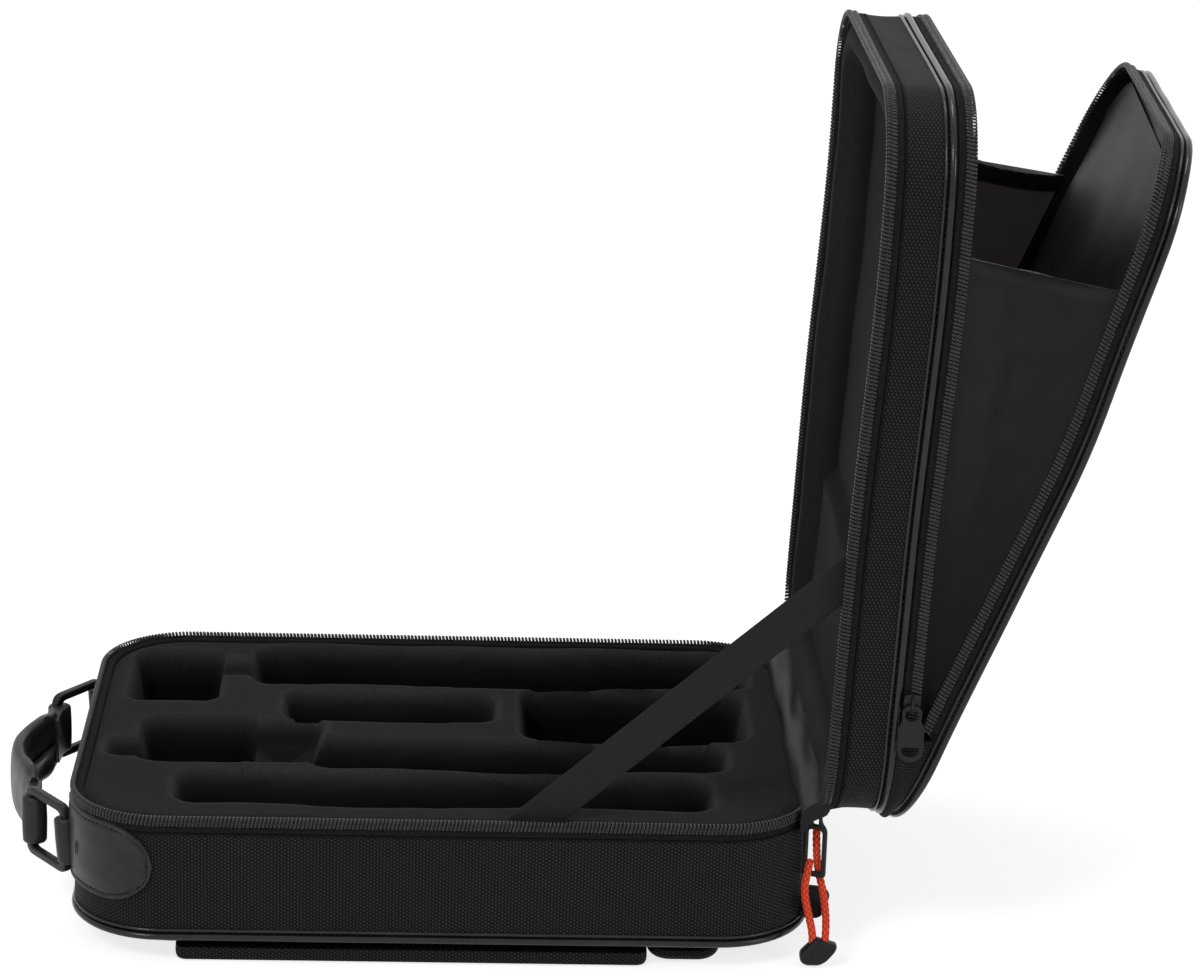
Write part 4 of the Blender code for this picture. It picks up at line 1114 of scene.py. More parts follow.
@dataclass
class ZipHalf:
    """A zip's half along the outline: a woven tape with a seam, and the coil sewn along its edge."""

    level: str
    half: Half
    tape_width: float = CASE.tape
    pitch: float = 2.0 * MM
    tape_out: float = 0.3 * MM

    def make(self, finishes: Finishes, repeater: Repeater) -> None:
        """Builds the tape, the coil and the thread that holds it down."""
        level = LEVELS[self.level]
        run = OUTLINE.run(before_zip_end if self.level in ("pocket", "cover") else off_the_hinge)
        outer, back = self.tape_out, self.tape_out - 0.9 * MM
        seam, width = self.tape_width - 1.3 * MM, self.tape_width
        # The third number of each profile point is painted shade: 0 in the seam's groove, and lower under the
        # coil, at the tape's top edge and on its back.
        profile = [
            (outer, width, 0.2), (outer + 0.1 * MM, seam + 0.5 * MM, 0.5), (outer - 0.45 * MM, seam, 0.0),
            (outer + 0.15 * MM, seam - 0.6 * MM, 0.5), (outer, 5.4 * MM, 0.5), (outer, 2.0 * MM, 0.3),
            (back, 2.0 * MM, 0.3), (back, width, 0.3), (outer, width, 0.2),
        ]
        section = np.array([(out, level.at(distance)) for out, distance, _ in profile])
        painted_shades = np.array([tone for _, _, tone in profile])
        piece = Piece(f"{self.level}_zip_tape", self.half)
        grid, uv = wall_grid(section, run)
        piece.grid(grid, uv, shade=painted_shades[:, None])
        for end in (0, -1):
            piece.cap(grid[:, end])
        settle(piece.build([finishes.tape]), self.half.value, "zip", f"{self.level}_zip_chain")
        settle(self.coil(finishes, repeater, level, run), self.half.value, "zip")
        settle(self.thread(finishes, level, run), self.half.value, "zip")

    def coil(self, finishes: Finishes, repeater: Repeater, level: Level, run: slice) -> bpy.types.Object:
        """The coil's turns: flat loops over the tape's edge, pinched where the thread crosses them."""
        across, up = self.pitch * 0.36, 0.36 * MM
        loop = np.array([
            (0.0, 5.5), (0.75, 5.3), (1.15, 4.6), (1.05, 3.9), (0.55, 3.2), (0.95, 2.7), (1.35, 2.0),
            (1.35, 0.9), (0.7, 0.15), (-0.3, 0.1), (-1.1, 0.7), (-1.2, 2.2), (-1.0, 4.2),
        ]) * MM
        ahead = unit(np.gradient(loop, axis=0))
        rows = []
        for (x, z), (along_x, along_z) in zip(loop, ahead):
            lean = (z - 2.6 * MM) * 0.22
            ring = []
            for angle in np.linspace(0, 2 * pi, 7):
                rise = up * sin(angle)
                ring.append((x - along_z * rise, across * cos(angle) + lean, z + along_x * rise))
            rows.append(ring)
        path = OUTLINE.at(self.tape_out, level.plane)[run]
        out = np.column_stack([OUTLINE.normals[run], np.zeros(len(path))])
        into = np.broadcast_to((0.0, 0.0, float(level.sign)), path.shape)
        return repeater.along(
            f"{self.level}_zip_coil", Fold.open(path, self.half), Fold.turn(path, out, self.half),
            Fold.turn(path, into, self.half), np.array(rows), finishes.coil, self.pitch, 0.03, 5,
        )

    def thread(self, finishes: Finishes, level: Level, run: slice) -> bpy.types.Object:
        """The sewing thread that holds the coil down."""
        piece = Piece(f"{self.level}_zip_thread", self.half)
        path = OUTLINE.at(self.tape_out + 0.75 * MM, level.at(3.2 * MM))[run]
        piece.tube(sweep(path, oval(0.8 * MM, 0.7 * MM, 8), (0, 0, 1)))
        return piece.build([finishes.thread])


@dataclass
class Piping:
    """The vinyl cord and its sewn flange along an edge of a half."""

    level: str
    distance: float
    half: Half
    radius: float = 1.9 * MM

    def make(self, finishes: Finishes) -> None:
        """Builds the cord and the flange."""
        level = LEVELS[self.level]
        centre = level.at(self.distance + 0.1 * MM)
        angles = np.linspace(0, 2 * pi, 15)
        out = 0.1 * MM + self.radius * np.cos(angles)
        ring = np.column_stack([out, centre + self.radius * np.sin(angles)])
        flange = rounded([(-2.2, 1.4), (0.5, 2.6), (1.15, 3.5), (0.5, 4.4), (-1.0, 4.7), (-2.2, 1.4)], 0.5, 3)
        strip = np.array([(out * MM, level.at(self.distance - down * MM)) for out, down in flange])
        piece = Piece(f"{self.level}_edge_piping", self.half)
        for profile, seed in ((ring, 11), (strip, 12)):
            grid, uv = wall_grid(profile)
            piece.grid(uneven(grid, 50 * MM, 0.2 * MM, seed), uv)
        settle(piece.build([finishes.vinyl]), self.half.value, "piping", f"{self.level}_piping")


def panel_rise(inset: Array | float, crown: float) -> Array | float:
    """How high a crowned panel stands at a distance in from the outline."""
    share = np.clip((inset - CASE.edge * 1.6) / (CASE.width / 2 - CASE.edge * 1.6), 0, 1)
    return crown * (1 - (1 - share) ** 2.4)


@dataclass
class Tub:
    """The cloth shell of a half with its bound rim, its inner wall and, where it has one, its board."""

    level: str
    depth: float
    half: Half
    nodes: tuple[str, ...]
    inner_floor: float
    wall: float = 5.3 * MM
    crown: float = 0.0
    panel_swell: float = 0.8 * MM
    swell: float = 0.6 * MM
    seed: int = 1
    stops_at_zip_end: bool = False

    def clamp(self, grid: Array) -> Array:
        """Keeps the wall off the closed end of a pocket's cover."""
        if not self.stops_at_zip_end:
            return grid
        past = smooth_step(grid[..., 0], CASE.zip_end - 0.5 * MM, CASE.zip_end + 2 * MM)
        grid = grid.copy()
        grid[..., 2] = np.maximum(grid[..., 2], LEVELS[self.level].at(11.8 * MM * past))
        return grid

    def binding(self) -> list[tuple[float, float]]:
        """The profile of the rim, from the tape's lower edge over the top and down inside."""
        start = [(0, CASE.tape), (-0.9 * MM, CASE.tape - 1 * MM), (-0.9 * MM, 2.2 * MM)]
        if self.wall < 4 * MM:
            return [*start, (-self.wall, 1.7 * MM), (-self.wall, self.inner_floor)]
        folds = [(-1.9, 1.9), (-2.3, 2.9), (-3.2, 2.4), (-3.9, 3.0), (-4.6, 2.2)]
        rim = [(out * MM, down * MM) for out, down in folds]
        return [*start, *rim, (-self.wall, 3.4 * MM), (-self.wall, self.inner_floor)]

    def make(self, finishes: Finishes) -> None:
        """Builds the shell: outer panel, edge, wall, bound rim, inner wall and inner floor."""
        level, edge, depth = LEVELS[self.level], CASE.edge, self.depth
        piece = Piece(f"{self.level}_shell", self.half)
        outer = rounded([(-edge * 1.6, depth), (0, depth), (0, CASE.tape)], edge, 6)
        outer = dense([(out, level.at(down)) for out, down in outer], 3.5 * MM)
        distance = np.abs(outer[:, 1] - level.plane)
        bulge = np.sin(np.clip((distance - CASE.tape) / max(depth - 13 * MM, 4 * MM), 0, 1) * pi)[:, None]
        grid, uv = wall_grid(outer)
        grid = uneven(grid, 80 * MM, self.swell, self.seed, bulge)
        grid = uneven(grid, 26 * MM, self.swell * 0.3, self.seed + 1, bulge)
        piece.grid(self.clamp(grid), uv)
        section = [(out, level.at(down)) for out, down in rounded(self.binding(), 0.7 * MM, 4)]
        grid, uv = wall_grid(dense(section, 5 * MM))
        piece.grid(self.clamp(grid), uv, slot=1)
        panel, uv = panel_grid(-edge * 1.6, level.at(depth), level.sign * self.crown, 16)
        share = np.linspace(0, 1, len(panel))[:, None] ** 0.5
        rise = waves(panel.reshape(-1, 3), 90 * MM, self.seed + 5).reshape(panel.shape[:2])
        panel[:, :, 2] += rise * self.panel_swell * share
        piece.grid(panel, uv)
        inside, uv = panel_grid(-self.wall, level.at(self.inner_floor), rings=3)
        piece.grid(self.clamp(inside), uv, slot=1)
        settle(piece.build([finishes.cloth, finishes.tape]), self.half.value, "cloth", *self.nodes)


@dataclass(frozen=True)
class Well:
    """A well in millimetres: its low and high corners, its depth and its corners' radius."""

    low: tuple[float, float]
    high: tuple[float, float]
    depth: float
    radius: float
    bend: float = 1.2


WELLS = (
    Well((-174, 37), (-127, 111), 46, 8, 0.6),
    Well((-131, 78), (-101, 103), 13, 9, 0.5),
    Well((-107, 65), (171, 120), 38, 12, 2.0),
    Well((-87, 11), (28, 52), 34, 10),
    Well((44, -12), (166, 60), 50, 12, 0.8),
    Well((-180, -45), (-158, -19), 22, 9, 0.3),
    Well((-163, -52), (-101, 11), 40, 12),
    Well((-108, -50), (-66, 8), 19, 8, 0.8),
    Well((-71, -58), (152, -17), 38, 13, 1.5),
    Well((-139, -108), (141, -65), 34, 13, 1.5),
)


def box_distance(x: Array, y: Array, low: Sequence[float], high: Sequence[float], radius: float) -> Array:
    """The signed distance from a rounded rectangle, below 0 inside it."""
    dx = np.abs(x - (low[0] + high[0]) / 2) - (high[0] - low[0]) / 2 + radius
    dy = np.abs(y - (low[1] + high[1]) / 2) - (high[1] - low[1]) / 2 + radius
    return np.hypot(np.maximum(dx, 0), np.maximum(dy, 0)) + np.minimum(np.maximum(dx, dy), 0) - radius


class Moulding:
    """A padded plush body with a modelled face over the case's plan."""

    def __init__(self, name: str, half: Half, step: float, inset: float = 5.4 * MM) -> None:
        self.name, self.half = name, half
        half_x, half_y = CASE.length / 2 - inset, CASE.width / 2 - inset
        radius = CASE.corner - inset
        columns, rows = int(2 * half_x / step), int(2 * half_y / step)
        u, v = np.meshgrid(np.linspace(-1, 1, columns), np.linspace(-1, 1, rows))
        x, y = u * half_x, v * half_y
        pull_x = np.maximum(np.abs(x) - (half_x - radius), 0)
        pull_y = np.maximum(np.abs(y) - (half_y - radius), 0)
        both = (pull_x > 0) & (pull_y > 0)
        squeeze = np.where(both, np.maximum(pull_x, pull_y) / np.maximum(np.hypot(pull_x, pull_y), 1e-9), 1.0)
        self.x = np.where(pull_x > 0, np.sign(x) * (half_x - radius + pull_x * squeeze), x)
        self.y = np.where(pull_y > 0, np.sign(y) * (half_y - radius + pull_y * squeeze), y)
        self.border = -box_distance(self.x, self.y, (-half_x, -half_y), (half_x, half_y), radius)
        self.flat = np.stack([self.x, self.y, 0 * self.x], axis=2).reshape(-1, 3)

    def swell(self, length: float, seed: int) -> Array:
        """Smooth waves over the plan."""
        return waves(self.flat, length, seed).reshape(self.x.shape)

    def close(self, z: Array, shade: Array, bottom: float, finishes: Finishes) -> bpy.types.Object:
        """Builds the body between its face and a flat back."""
        piece = Piece(self.name, self.half)
        top = np.stack([self.x, self.y, z], axis=2)
        piece.grid(top, np.stack([self.x, self.y], axis=2), shade=shade)
        ring = np.concatenate([top[0], top[1:, -1], top[-1, -2::-1], top[-2::-1, 0]])
        low = ring.copy()
        low[:, 2] = bottom
        # Painted shade: the sides and the back are darker than the face.
        piece.grid(np.stack([ring, low]), shade=0.2)
        piece.cap(low, shade=0.1)
        return piece.build([finishes.plush], sharp=70)


@dataclass
class Insert:
    """The moulded plush insert with its rounded wells."""

    top: float = 79.4 * MM
    bottom: float = 20.8 * MM

    def make(self, finishes: Finishes) -> None:
        """Builds the insert as one closed body."""
        body = Moulding("plush_insert", Half.BASE, 1.3 * MM)
        x, y = body.x, body.y
        depth, edge = np.zeros_like(x), np.zeros_like(x)
        for well in WELLS:
            bend = well.bend * MM * np.sin(x / (31 * MM) + well.depth)
            low, high = np.array(well.low) * MM, np.array(well.high) * MM
            distance = box_distance(x, y + bend, low, high, well.radius * MM)
            fall = smooth_step(-distance, -3.6 * MM, 5.0 * MM) ** 1.3
            bowl = smooth_step(-distance, 3 * MM, 22 * MM) * 5 * MM
            depth = np.maximum(depth, fall * (well.depth * MM - 5 * MM) + bowl)
            # edge marks the wells' rounded rims, where the painted sheen goes.
            edge = np.maximum(edge, np.exp(-(((distance - 0.8 * MM) / (3.4 * MM)) ** 2)))
        soft = body.swell(70 * MM, 21) * 0.4 * MM + body.swell(16 * MM, 22) * 0.08 * MM
        z = self.top - depth + soft * (1 - smooth_step(depth, 0, 6 * MM))
        z -= 1.4 * MM * (1 - smooth_step(body.border, 0, 4 * MM))
        # Painted light: the shade falls with a well's depth as painted shade, and rises on the rims as a
        # painted sheen.
        shade = 0.36 * (1 - smooth_step(depth, 0, 24 * MM))
        shade += 0.42 * edge * (1 - smooth_step(depth, 2 * MM, 9 * MM))
        obj = body.close(z, shade, self.bottom, finishes)
        settle(obj, "base", "plush", "base_insert")


@dataclass
class LidLining:
    """The lid's padded lining: a rounded border round a recess, with a raised step by the hinge."""

    top: float = 85.0 * MM
    back: float = 109.6 * MM
    border: float = 15 * MM
    recess: float = 18 * MM
    step: float = 8 * MM

    def make(self, finishes: Finishes) -> None:
        """Builds the lining as one closed body."""
        body = Moulding("lid_plush_lining", Half.LID, 2.2 * MM)
        x, y = body.x, body.y
        half_x, half_y = CASE.length / 2 - 5.4 * MM - self.border, CASE.width / 2 - 5.4 * MM - self.border
        distance = box_distance(x, y, (-half_x, -half_y), (half_x, half_y), 30 * MM)
        fall = smooth_step(-distance, -5 * MM, 9 * MM)
        raised = smooth_step(x, 68 * MM, 78 * MM) * smooth_step(half_y - np.abs(y), 2 * MM, 12 * MM)
        z = self.top + fall * (self.recess - raised * self.step) + body.swell(60 * MM, 41) * 0.5 * MM
        z += 1.5 * MM * (1 - smooth_step(body.border, 0, 5 * MM))
        # Painted shade darker down in the recess, and a painted sheen on the border's rounded edge.
        shade = 0.32 - 0.22 * fall + 0.3 * np.exp(-(((distance + 1 * MM) / (4 * MM)) ** 2))
        obj = body.close(z, shade, self.back, finishes)
        settle(obj, "lid", "plush", "lid_insert")


@dataclass
class StayStrap:
    """The webbing strap that holds the lid, sewn into the near side of the base and of the lid."""

    foot: tuple[float, float, float] = (24.5 * MM, -128.7 * MM, 60 * MM)
    head: tuple[float, float, float] = (222 * MM, -128.7 * MM, 233.5 * MM)
    width: float = 20 * MM
    thickness: float = 1.5 * MM

    def make(self, finishes: Finishes) -> None:
        """Builds the strap."""
        share = np.linspace(0, 1, 60)[:, None]
        path = np.array(self.foot) * (1 - share) + np.array(self.head) * share
        path[:, 1] += np.sin(share[:, 0] * pi) * 0.5 * MM
        piece = Piece("stay_strap")
        piece.tube(sweep(path, oval(self.width, self.thickness, 20, 0.35), (0, 1, 0)))
        obj = piece.build([finishes.webbing], 60)
        low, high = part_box("lid_stay_strap")
        ends = np.array([(low[0], self.foot[1], low[2]), (high[0], self.foot[1], high[2])])
        settle_between(obj, ("base", "lid"), ends, "webbing", "lid_stay_strap")


@dataclass
class HingeSpine:
    """The cloth that joins base and lid outside the hinge, and the puffy lining inside it."""

    outside: tuple[tuple[float, float], ...] = (
        (192.6, 64), (193.6, 68), (195.2, 73.6), (199.0, 75.6), (204, 76.1), (211, 76.0),
        (211, 74.8), (204, 74.7), (198.2, 74.0), (194.4, 73.2), (192.8, 68), (192.6, 64),
    )
    inside: tuple[tuple[float, float], ...] = (
        (186.2, 70), (185.6, 78), (186.2, 82.5), (188.2, 86.0), (191.5, 88.0), (196.5, 88.8),
        (201, 88.2), (200, 82), (193.6, 78.8), (189, 74), (187.2, 70), (186.2, 70),
    )

    def make(self, finishes: Finishes) -> None:
        """Builds both layers, which run round the hinge between the base and the lid."""
        outer = self.strip("hinge_outside", self.outside, 92 * MM, finishes.cloth, 0.35 * MM)
        inner = self.strip("hinge_lining", self.inside, 120 * MM, finishes.satin, 0.9 * MM)
        ends = np.array([(190, 0, 70), (203, 0, 80)]) * MM
        settle_between(outer, ("base", "lid"), ends, "cloth", "hinge_spine")
        settle_between(inner, ("base", "lid"), ends, "lining")

    def strip(
        self,
        name: str,
        corners: Sequence[tuple[float, float]],
        reach: float,
        material: bpy.types.Material,
        puff: float,
    ) -> bpy.types.Object:
        """A strip along Y, to reach on both sides, whose section is puckered by puff."""
        ring = curve_through(np.array(corners) * MM, 3)
        rows = []
        for y in np.linspace(-reach, reach, 80):
            rows.append(np.column_stack([ring[:, 0], np.full(len(ring), y), ring[:, 1]]))
        grid = np.stack(rows)
        pucker = waves(grid.reshape(-1, 3) * (1.6, 0.35, 1.6), 22 * MM, 61).reshape(grid.shape[:2]) * puff
        piece = Piece(name)
        piece.tube(grid + unit(grid - grid.mean(axis=1, keepdims=True)) * pucker[..., None])
        return piece.build([material])


@dataclass
class PocketWall:
    """The pocket's low wall on the lid's back: a hemmed rim, and a closed end by the hinge."""

    soft_out: float = 3.2 * MM

    def make(self, finishes: Finishes) -> None:
        """Builds the rim and the end."""
        run = OUTLINE.run(before_zip_end)
        profile = rounded([(-0.8, 115.6), (-0.8, 124.8), (-2.2, 124.8), (-2.2, 115.6), (-0.8, 115.6)], 0.5, 3)
        piece = Piece("pocket_rim_lining", Half.LID)
        grid, uv = wall_grid(np.array(profile) * MM, run)
        piece.grid(grid, uv)
        for end in (0, -1):
            piece.cap(grid[:, end])
        settle(piece.build([finishes.satin]), "lid", "lining", "pocket_rim")
        self.end_wall(finishes)

    def end_wall(self, finishes: Finishes) -> None:
        """The cloth side that runs round the hinge end, from the lid's back to the cover's edge."""
        places, normals = OUTLINE.end_run(CASE.zip_end - 2.5 * MM)
        turn = radians(CASE.cover_angle)
        low = CASE.lid_back - 0.2 * MM
        top = CASE.pocket - (places[:, 0] - CASE.zip_end) * sin(turn) + 12.2 * MM * cos(turn)
        squash = np.clip((24 * MM - (top - low)) / (17 * MM), 0, 1)
        rows = []
        shares = np.linspace(0, 1, 12)
        for layer, order in ((0.0, shares), (-1.3 * MM, shares[::-1])):
            for share in order:
                out = layer - 0.4 * MM + np.sin(share * pi) * (0.8 * MM + squash * self.soft_out)
                rows.append(np.column_stack([places + normals * out[:, None], low + (top - low) * share]))
        rows.append(rows[0])
        grid = uneven(np.stack(rows), 30 * MM, 0.5 * MM, 71)
        along = np.concatenate([[0], np.cumsum(np.linalg.norm(np.diff(places, axis=0), axis=1))])
        heights = np.concatenate([[0], np.cumsum(np.linalg.norm(np.diff(grid[:, 0], axis=0), axis=1))])
        piece = Piece("pocket_end_cloth", Half.LID)
        piece.grid(grid, np.stack(np.meshgrid(along, heights), axis=2))
        for end in (0, -1):
            piece.cap(grid[:, end])
        ends = Fold.open(np.array([(180 * MM, 0, low + 2 * MM), (180 * MM, 0, low + 6.5 * MM)]), Half.LID)
        settle_between(piece.build([finishes.cloth]), ("lid", "cover"), ends, "cloth", "pocket_end_wall")


@dataclass
class Gusset:
    """A cloth side that holds the open cover, with a hem along its top."""

    side: int
    name: str
    seed: int
    start: float = 6 * MM
    length: float = 246 * MM
    hem: float = 9 * MM

    def make(self, finishes: Finishes) -> None:
        """Builds the sheet, with soft folds across it."""
        rows, columns = 90, 30
        along = np.linspace(self.start, self.start + self.length, rows)
        y = self.side * (CASE.width / 2 - 3.4 * MM)
        lines = []
        for z, half in ((CASE.pocket - 4 * MM, Half.LID), (CASE.pocket + 4 * MM, Half.COVER)):
            shut = np.column_stack([CASE.zip_end - along, np.full(rows, y), np.full(rows, z)])
            lines.append(Fold.open(shut, half))
        share = np.linspace(0, 1, columns)
        grid = lines[0][:, None] * (1 - share[:, None]) + lines[1][:, None] * share[:, None]
        width = np.linalg.norm(lines[1] - lines[0], axis=1)[:, None]
        flat = grid.reshape(-1, 3)
        folds = waves(flat * (1.0, 1.0, 0.55), 46 * MM, self.seed).reshape(rows, columns)
        fine = waves(flat, 17 * MM, self.seed + 1).reshape(rows, columns)
        ease = np.sin(share * pi) ** 0.6 * np.clip(width / (60 * MM), 0, 1)
        inward = np.sin(share * pi) * np.clip(width, 0, 60 * MM) * 0.12
        inward = inward + ease * (folds * 3.2 + fine * 0.7 + 1.8) * MM
        grid[..., 1] -= self.side * inward
        grid[..., 2] -= np.sin(share * pi) * 3 * MM * (along / along[-1])[:, None] ** 3
        edge = along[-1] - self.hem
        hem = smooth_step(along, edge - 0.6 * MM, edge + 0.6 * MM)[:, None]
        thick = 0.45 * MM + hem * 0.55 * MM
        stitched = np.exp(-(((along[:, None] - edge) / (1.2 * MM)) ** 2)) * 0.4
        shade = 0.5 + hem * (0.22 if self.side < 0 else -0.5) - stitched * (self.side < 0)
        # Painted shade: the near gusset darkens towards its narrow end by the hinge, deep in the fold between
        # lid and cover.
        shade = shade - 0.35 * (1 - smooth_step(along, 60 * MM, 200 * MM))[:, None] * (self.side < 0)
        front, back = grid.copy(), grid.copy()
        front[..., 1] += self.side * thick
        back[..., 1] -= self.side * thick
        piece = Piece(f"gusset_{self.name}_cloth")
        shades = np.broadcast_to(shade, (rows, 2 * columns + 1))
        piece.tube(np.concatenate([front, back[:, ::-1], front[:, :1]], axis=1), shade=shades)
        obj = piece.build([finishes.satin if self.side < 0 else finishes.net], 60)
        heights = (CASE.pocket + 6 * MM, CASE.pocket + 30 * MM)
        ends = Fold.open(np.array([(0.0, y, height) for height in heights]), Half.LID)
        settle_between(obj, ("lid", "cover"), ends, "lining", f"gusset_{self.name}")


@dataclass
class CoverInside:
    """The cover's lining and the open sleeve sewn over it."""

    inset: float = 3.2 * MM

    def make(self, finishes: Finishes) -> None:
        """Builds both."""
        level = LEVELS["cover"]
        half = (CASE.length / 2 - self.inset, CASE.width / 2 - self.inset)
        outline = Outline((-half[0], -half[1]), (CASE.zip_end, half[1]), 42 * MM)
        piece = Piece("cover_inner_lining", Half.COVER)
        heights = (level.at(10.3 * MM), level.at(11.4 * MM))
        for z, amount in zip(heights, (1.2 * MM, 0.0)):
            grid, uv = panel_grid(0.0, z, rings=22, outline=outline)
            weight = np.sin(np.linspace(0, 0.5, len(grid)) * pi)[:, None] ** 0.5
            grid[..., 2] += waves(grid.reshape(-1, 3), 60 * MM, 91).reshape(grid.shape[:2]) * amount * weight
            piece.grid(grid, uv)
        piece.grid(np.stack([outline.at(0.0, z) for z in heights]))
        settle(piece.build([finishes.satin]), "cover", "lining", "cover_lining")
        self.sleeve(finishes, level)

    def sleeve(self, finishes: Finishes, level: Level) -> None:
        """A sheet over the lower part of the lining, with a bound edge that slants across it."""
        near, far = -CASE.width / 2 + 5 * MM, CASE.width / 2 - 5 * MM
        v = np.linspace(near, far, 34)[:, None]
        start = -177 * MM - (v - near) / (far - near) * 8 * MM
        beside = np.maximum(np.abs(v) - CASE.width / 2 + CASE.corner, 0)
        round_end = CASE.corner - CASE.length / 2 - np.sqrt(CASE.corner**2 - beside**2) + 6 * MM
        start = np.maximum(start, round_end)
        u = np.broadcast_to(np.linspace(0, 1, 90)[None] ** 1.3, (34, 90))
        x = start + (124 * MM - start) * u
        y = np.broadcast_to(v, x.shape)
        flat = np.stack([x, y, 0 * x], axis=2).reshape(-1, 3)
        lift = waves(flat * (0.6, 1.0, 1.0), 48 * MM, 95).reshape(x.shape) * 1.9 * MM + 2.2 * MM
        lift *= np.clip(np.minimum(v - near, far - v) / (14 * MM), 0, 1)
        lift *= smooth_step(u, 0.0, 0.12)
        hem = 1 - smooth_step(x - start, 4.5 * MM, 5.5 * MM)
        z = level.at(10.0 * MM) - lift - hem * 0.5 * MM
        front, back = np.stack([x, y, z - 0.5 * MM], axis=2), np.stack([x, y, z + 0.3 * MM], axis=2)
        piece = Piece("cover_sleeve_cloth", Half.COVER)
        shade = 0.5 + np.concatenate([hem, hem[:, ::-1], hem[:, :1]], axis=1) * 0.25
        piece.tube(np.concatenate([front, back[:, ::-1], front[:, :1]], axis=1), shade=shade)
        settle(piece.build([finishes.satin], 60), "cover", "lining", "cover_sleeve")


@dataclass
class Guard:
    """The smooth vinyl guard over the lower end of the cover's panel."""

    reach: float = 52 * MM
    width: float = 34 * MM
    crown: float = COVER_CROWN
    thickness: float = 1.5 * MM

    def make(self, finishes: Finishes) -> None:
        """Builds the guard over the corners and the end of the panel."""
        level = LEVELS["cover"]
        places, normals = OUTLINE.end_run(CASE.length / 2 - self.reach)
        insets = np.linspace(3.0 * MM, self.width, 12)
        surface = CASE.cover_depth + panel_rise(insets, self.crown)
        surface -= 1.6 * MM * (1 - smooth_step(insets, 0, 8 * MM))
        top = surface + self.thickness * smooth_step(self.width + 0.8 * MM - insets, 0, 3 * MM)
        section = [*zip(insets, top), *zip(insets[::-1], surface[::-1] - 1.2 * MM), (insets[0], top[0])]
        rows = []
        for inset, distance in section:
            rows.append(np.column_stack([places - normals * inset, np.full(len(places), level.at(distance))]))
        grid = uneven(np.stack(rows), 30 * MM, 0.2 * MM, 99)
        piece = Piece("cover_guard", Half.COVER)
        piece.grid(grid)
        for end in (0, -1):
            piece.cap(grid[:, end])
        settle(piece.build([finishes.guard]), "cover", "vinyl", "cover_patch")


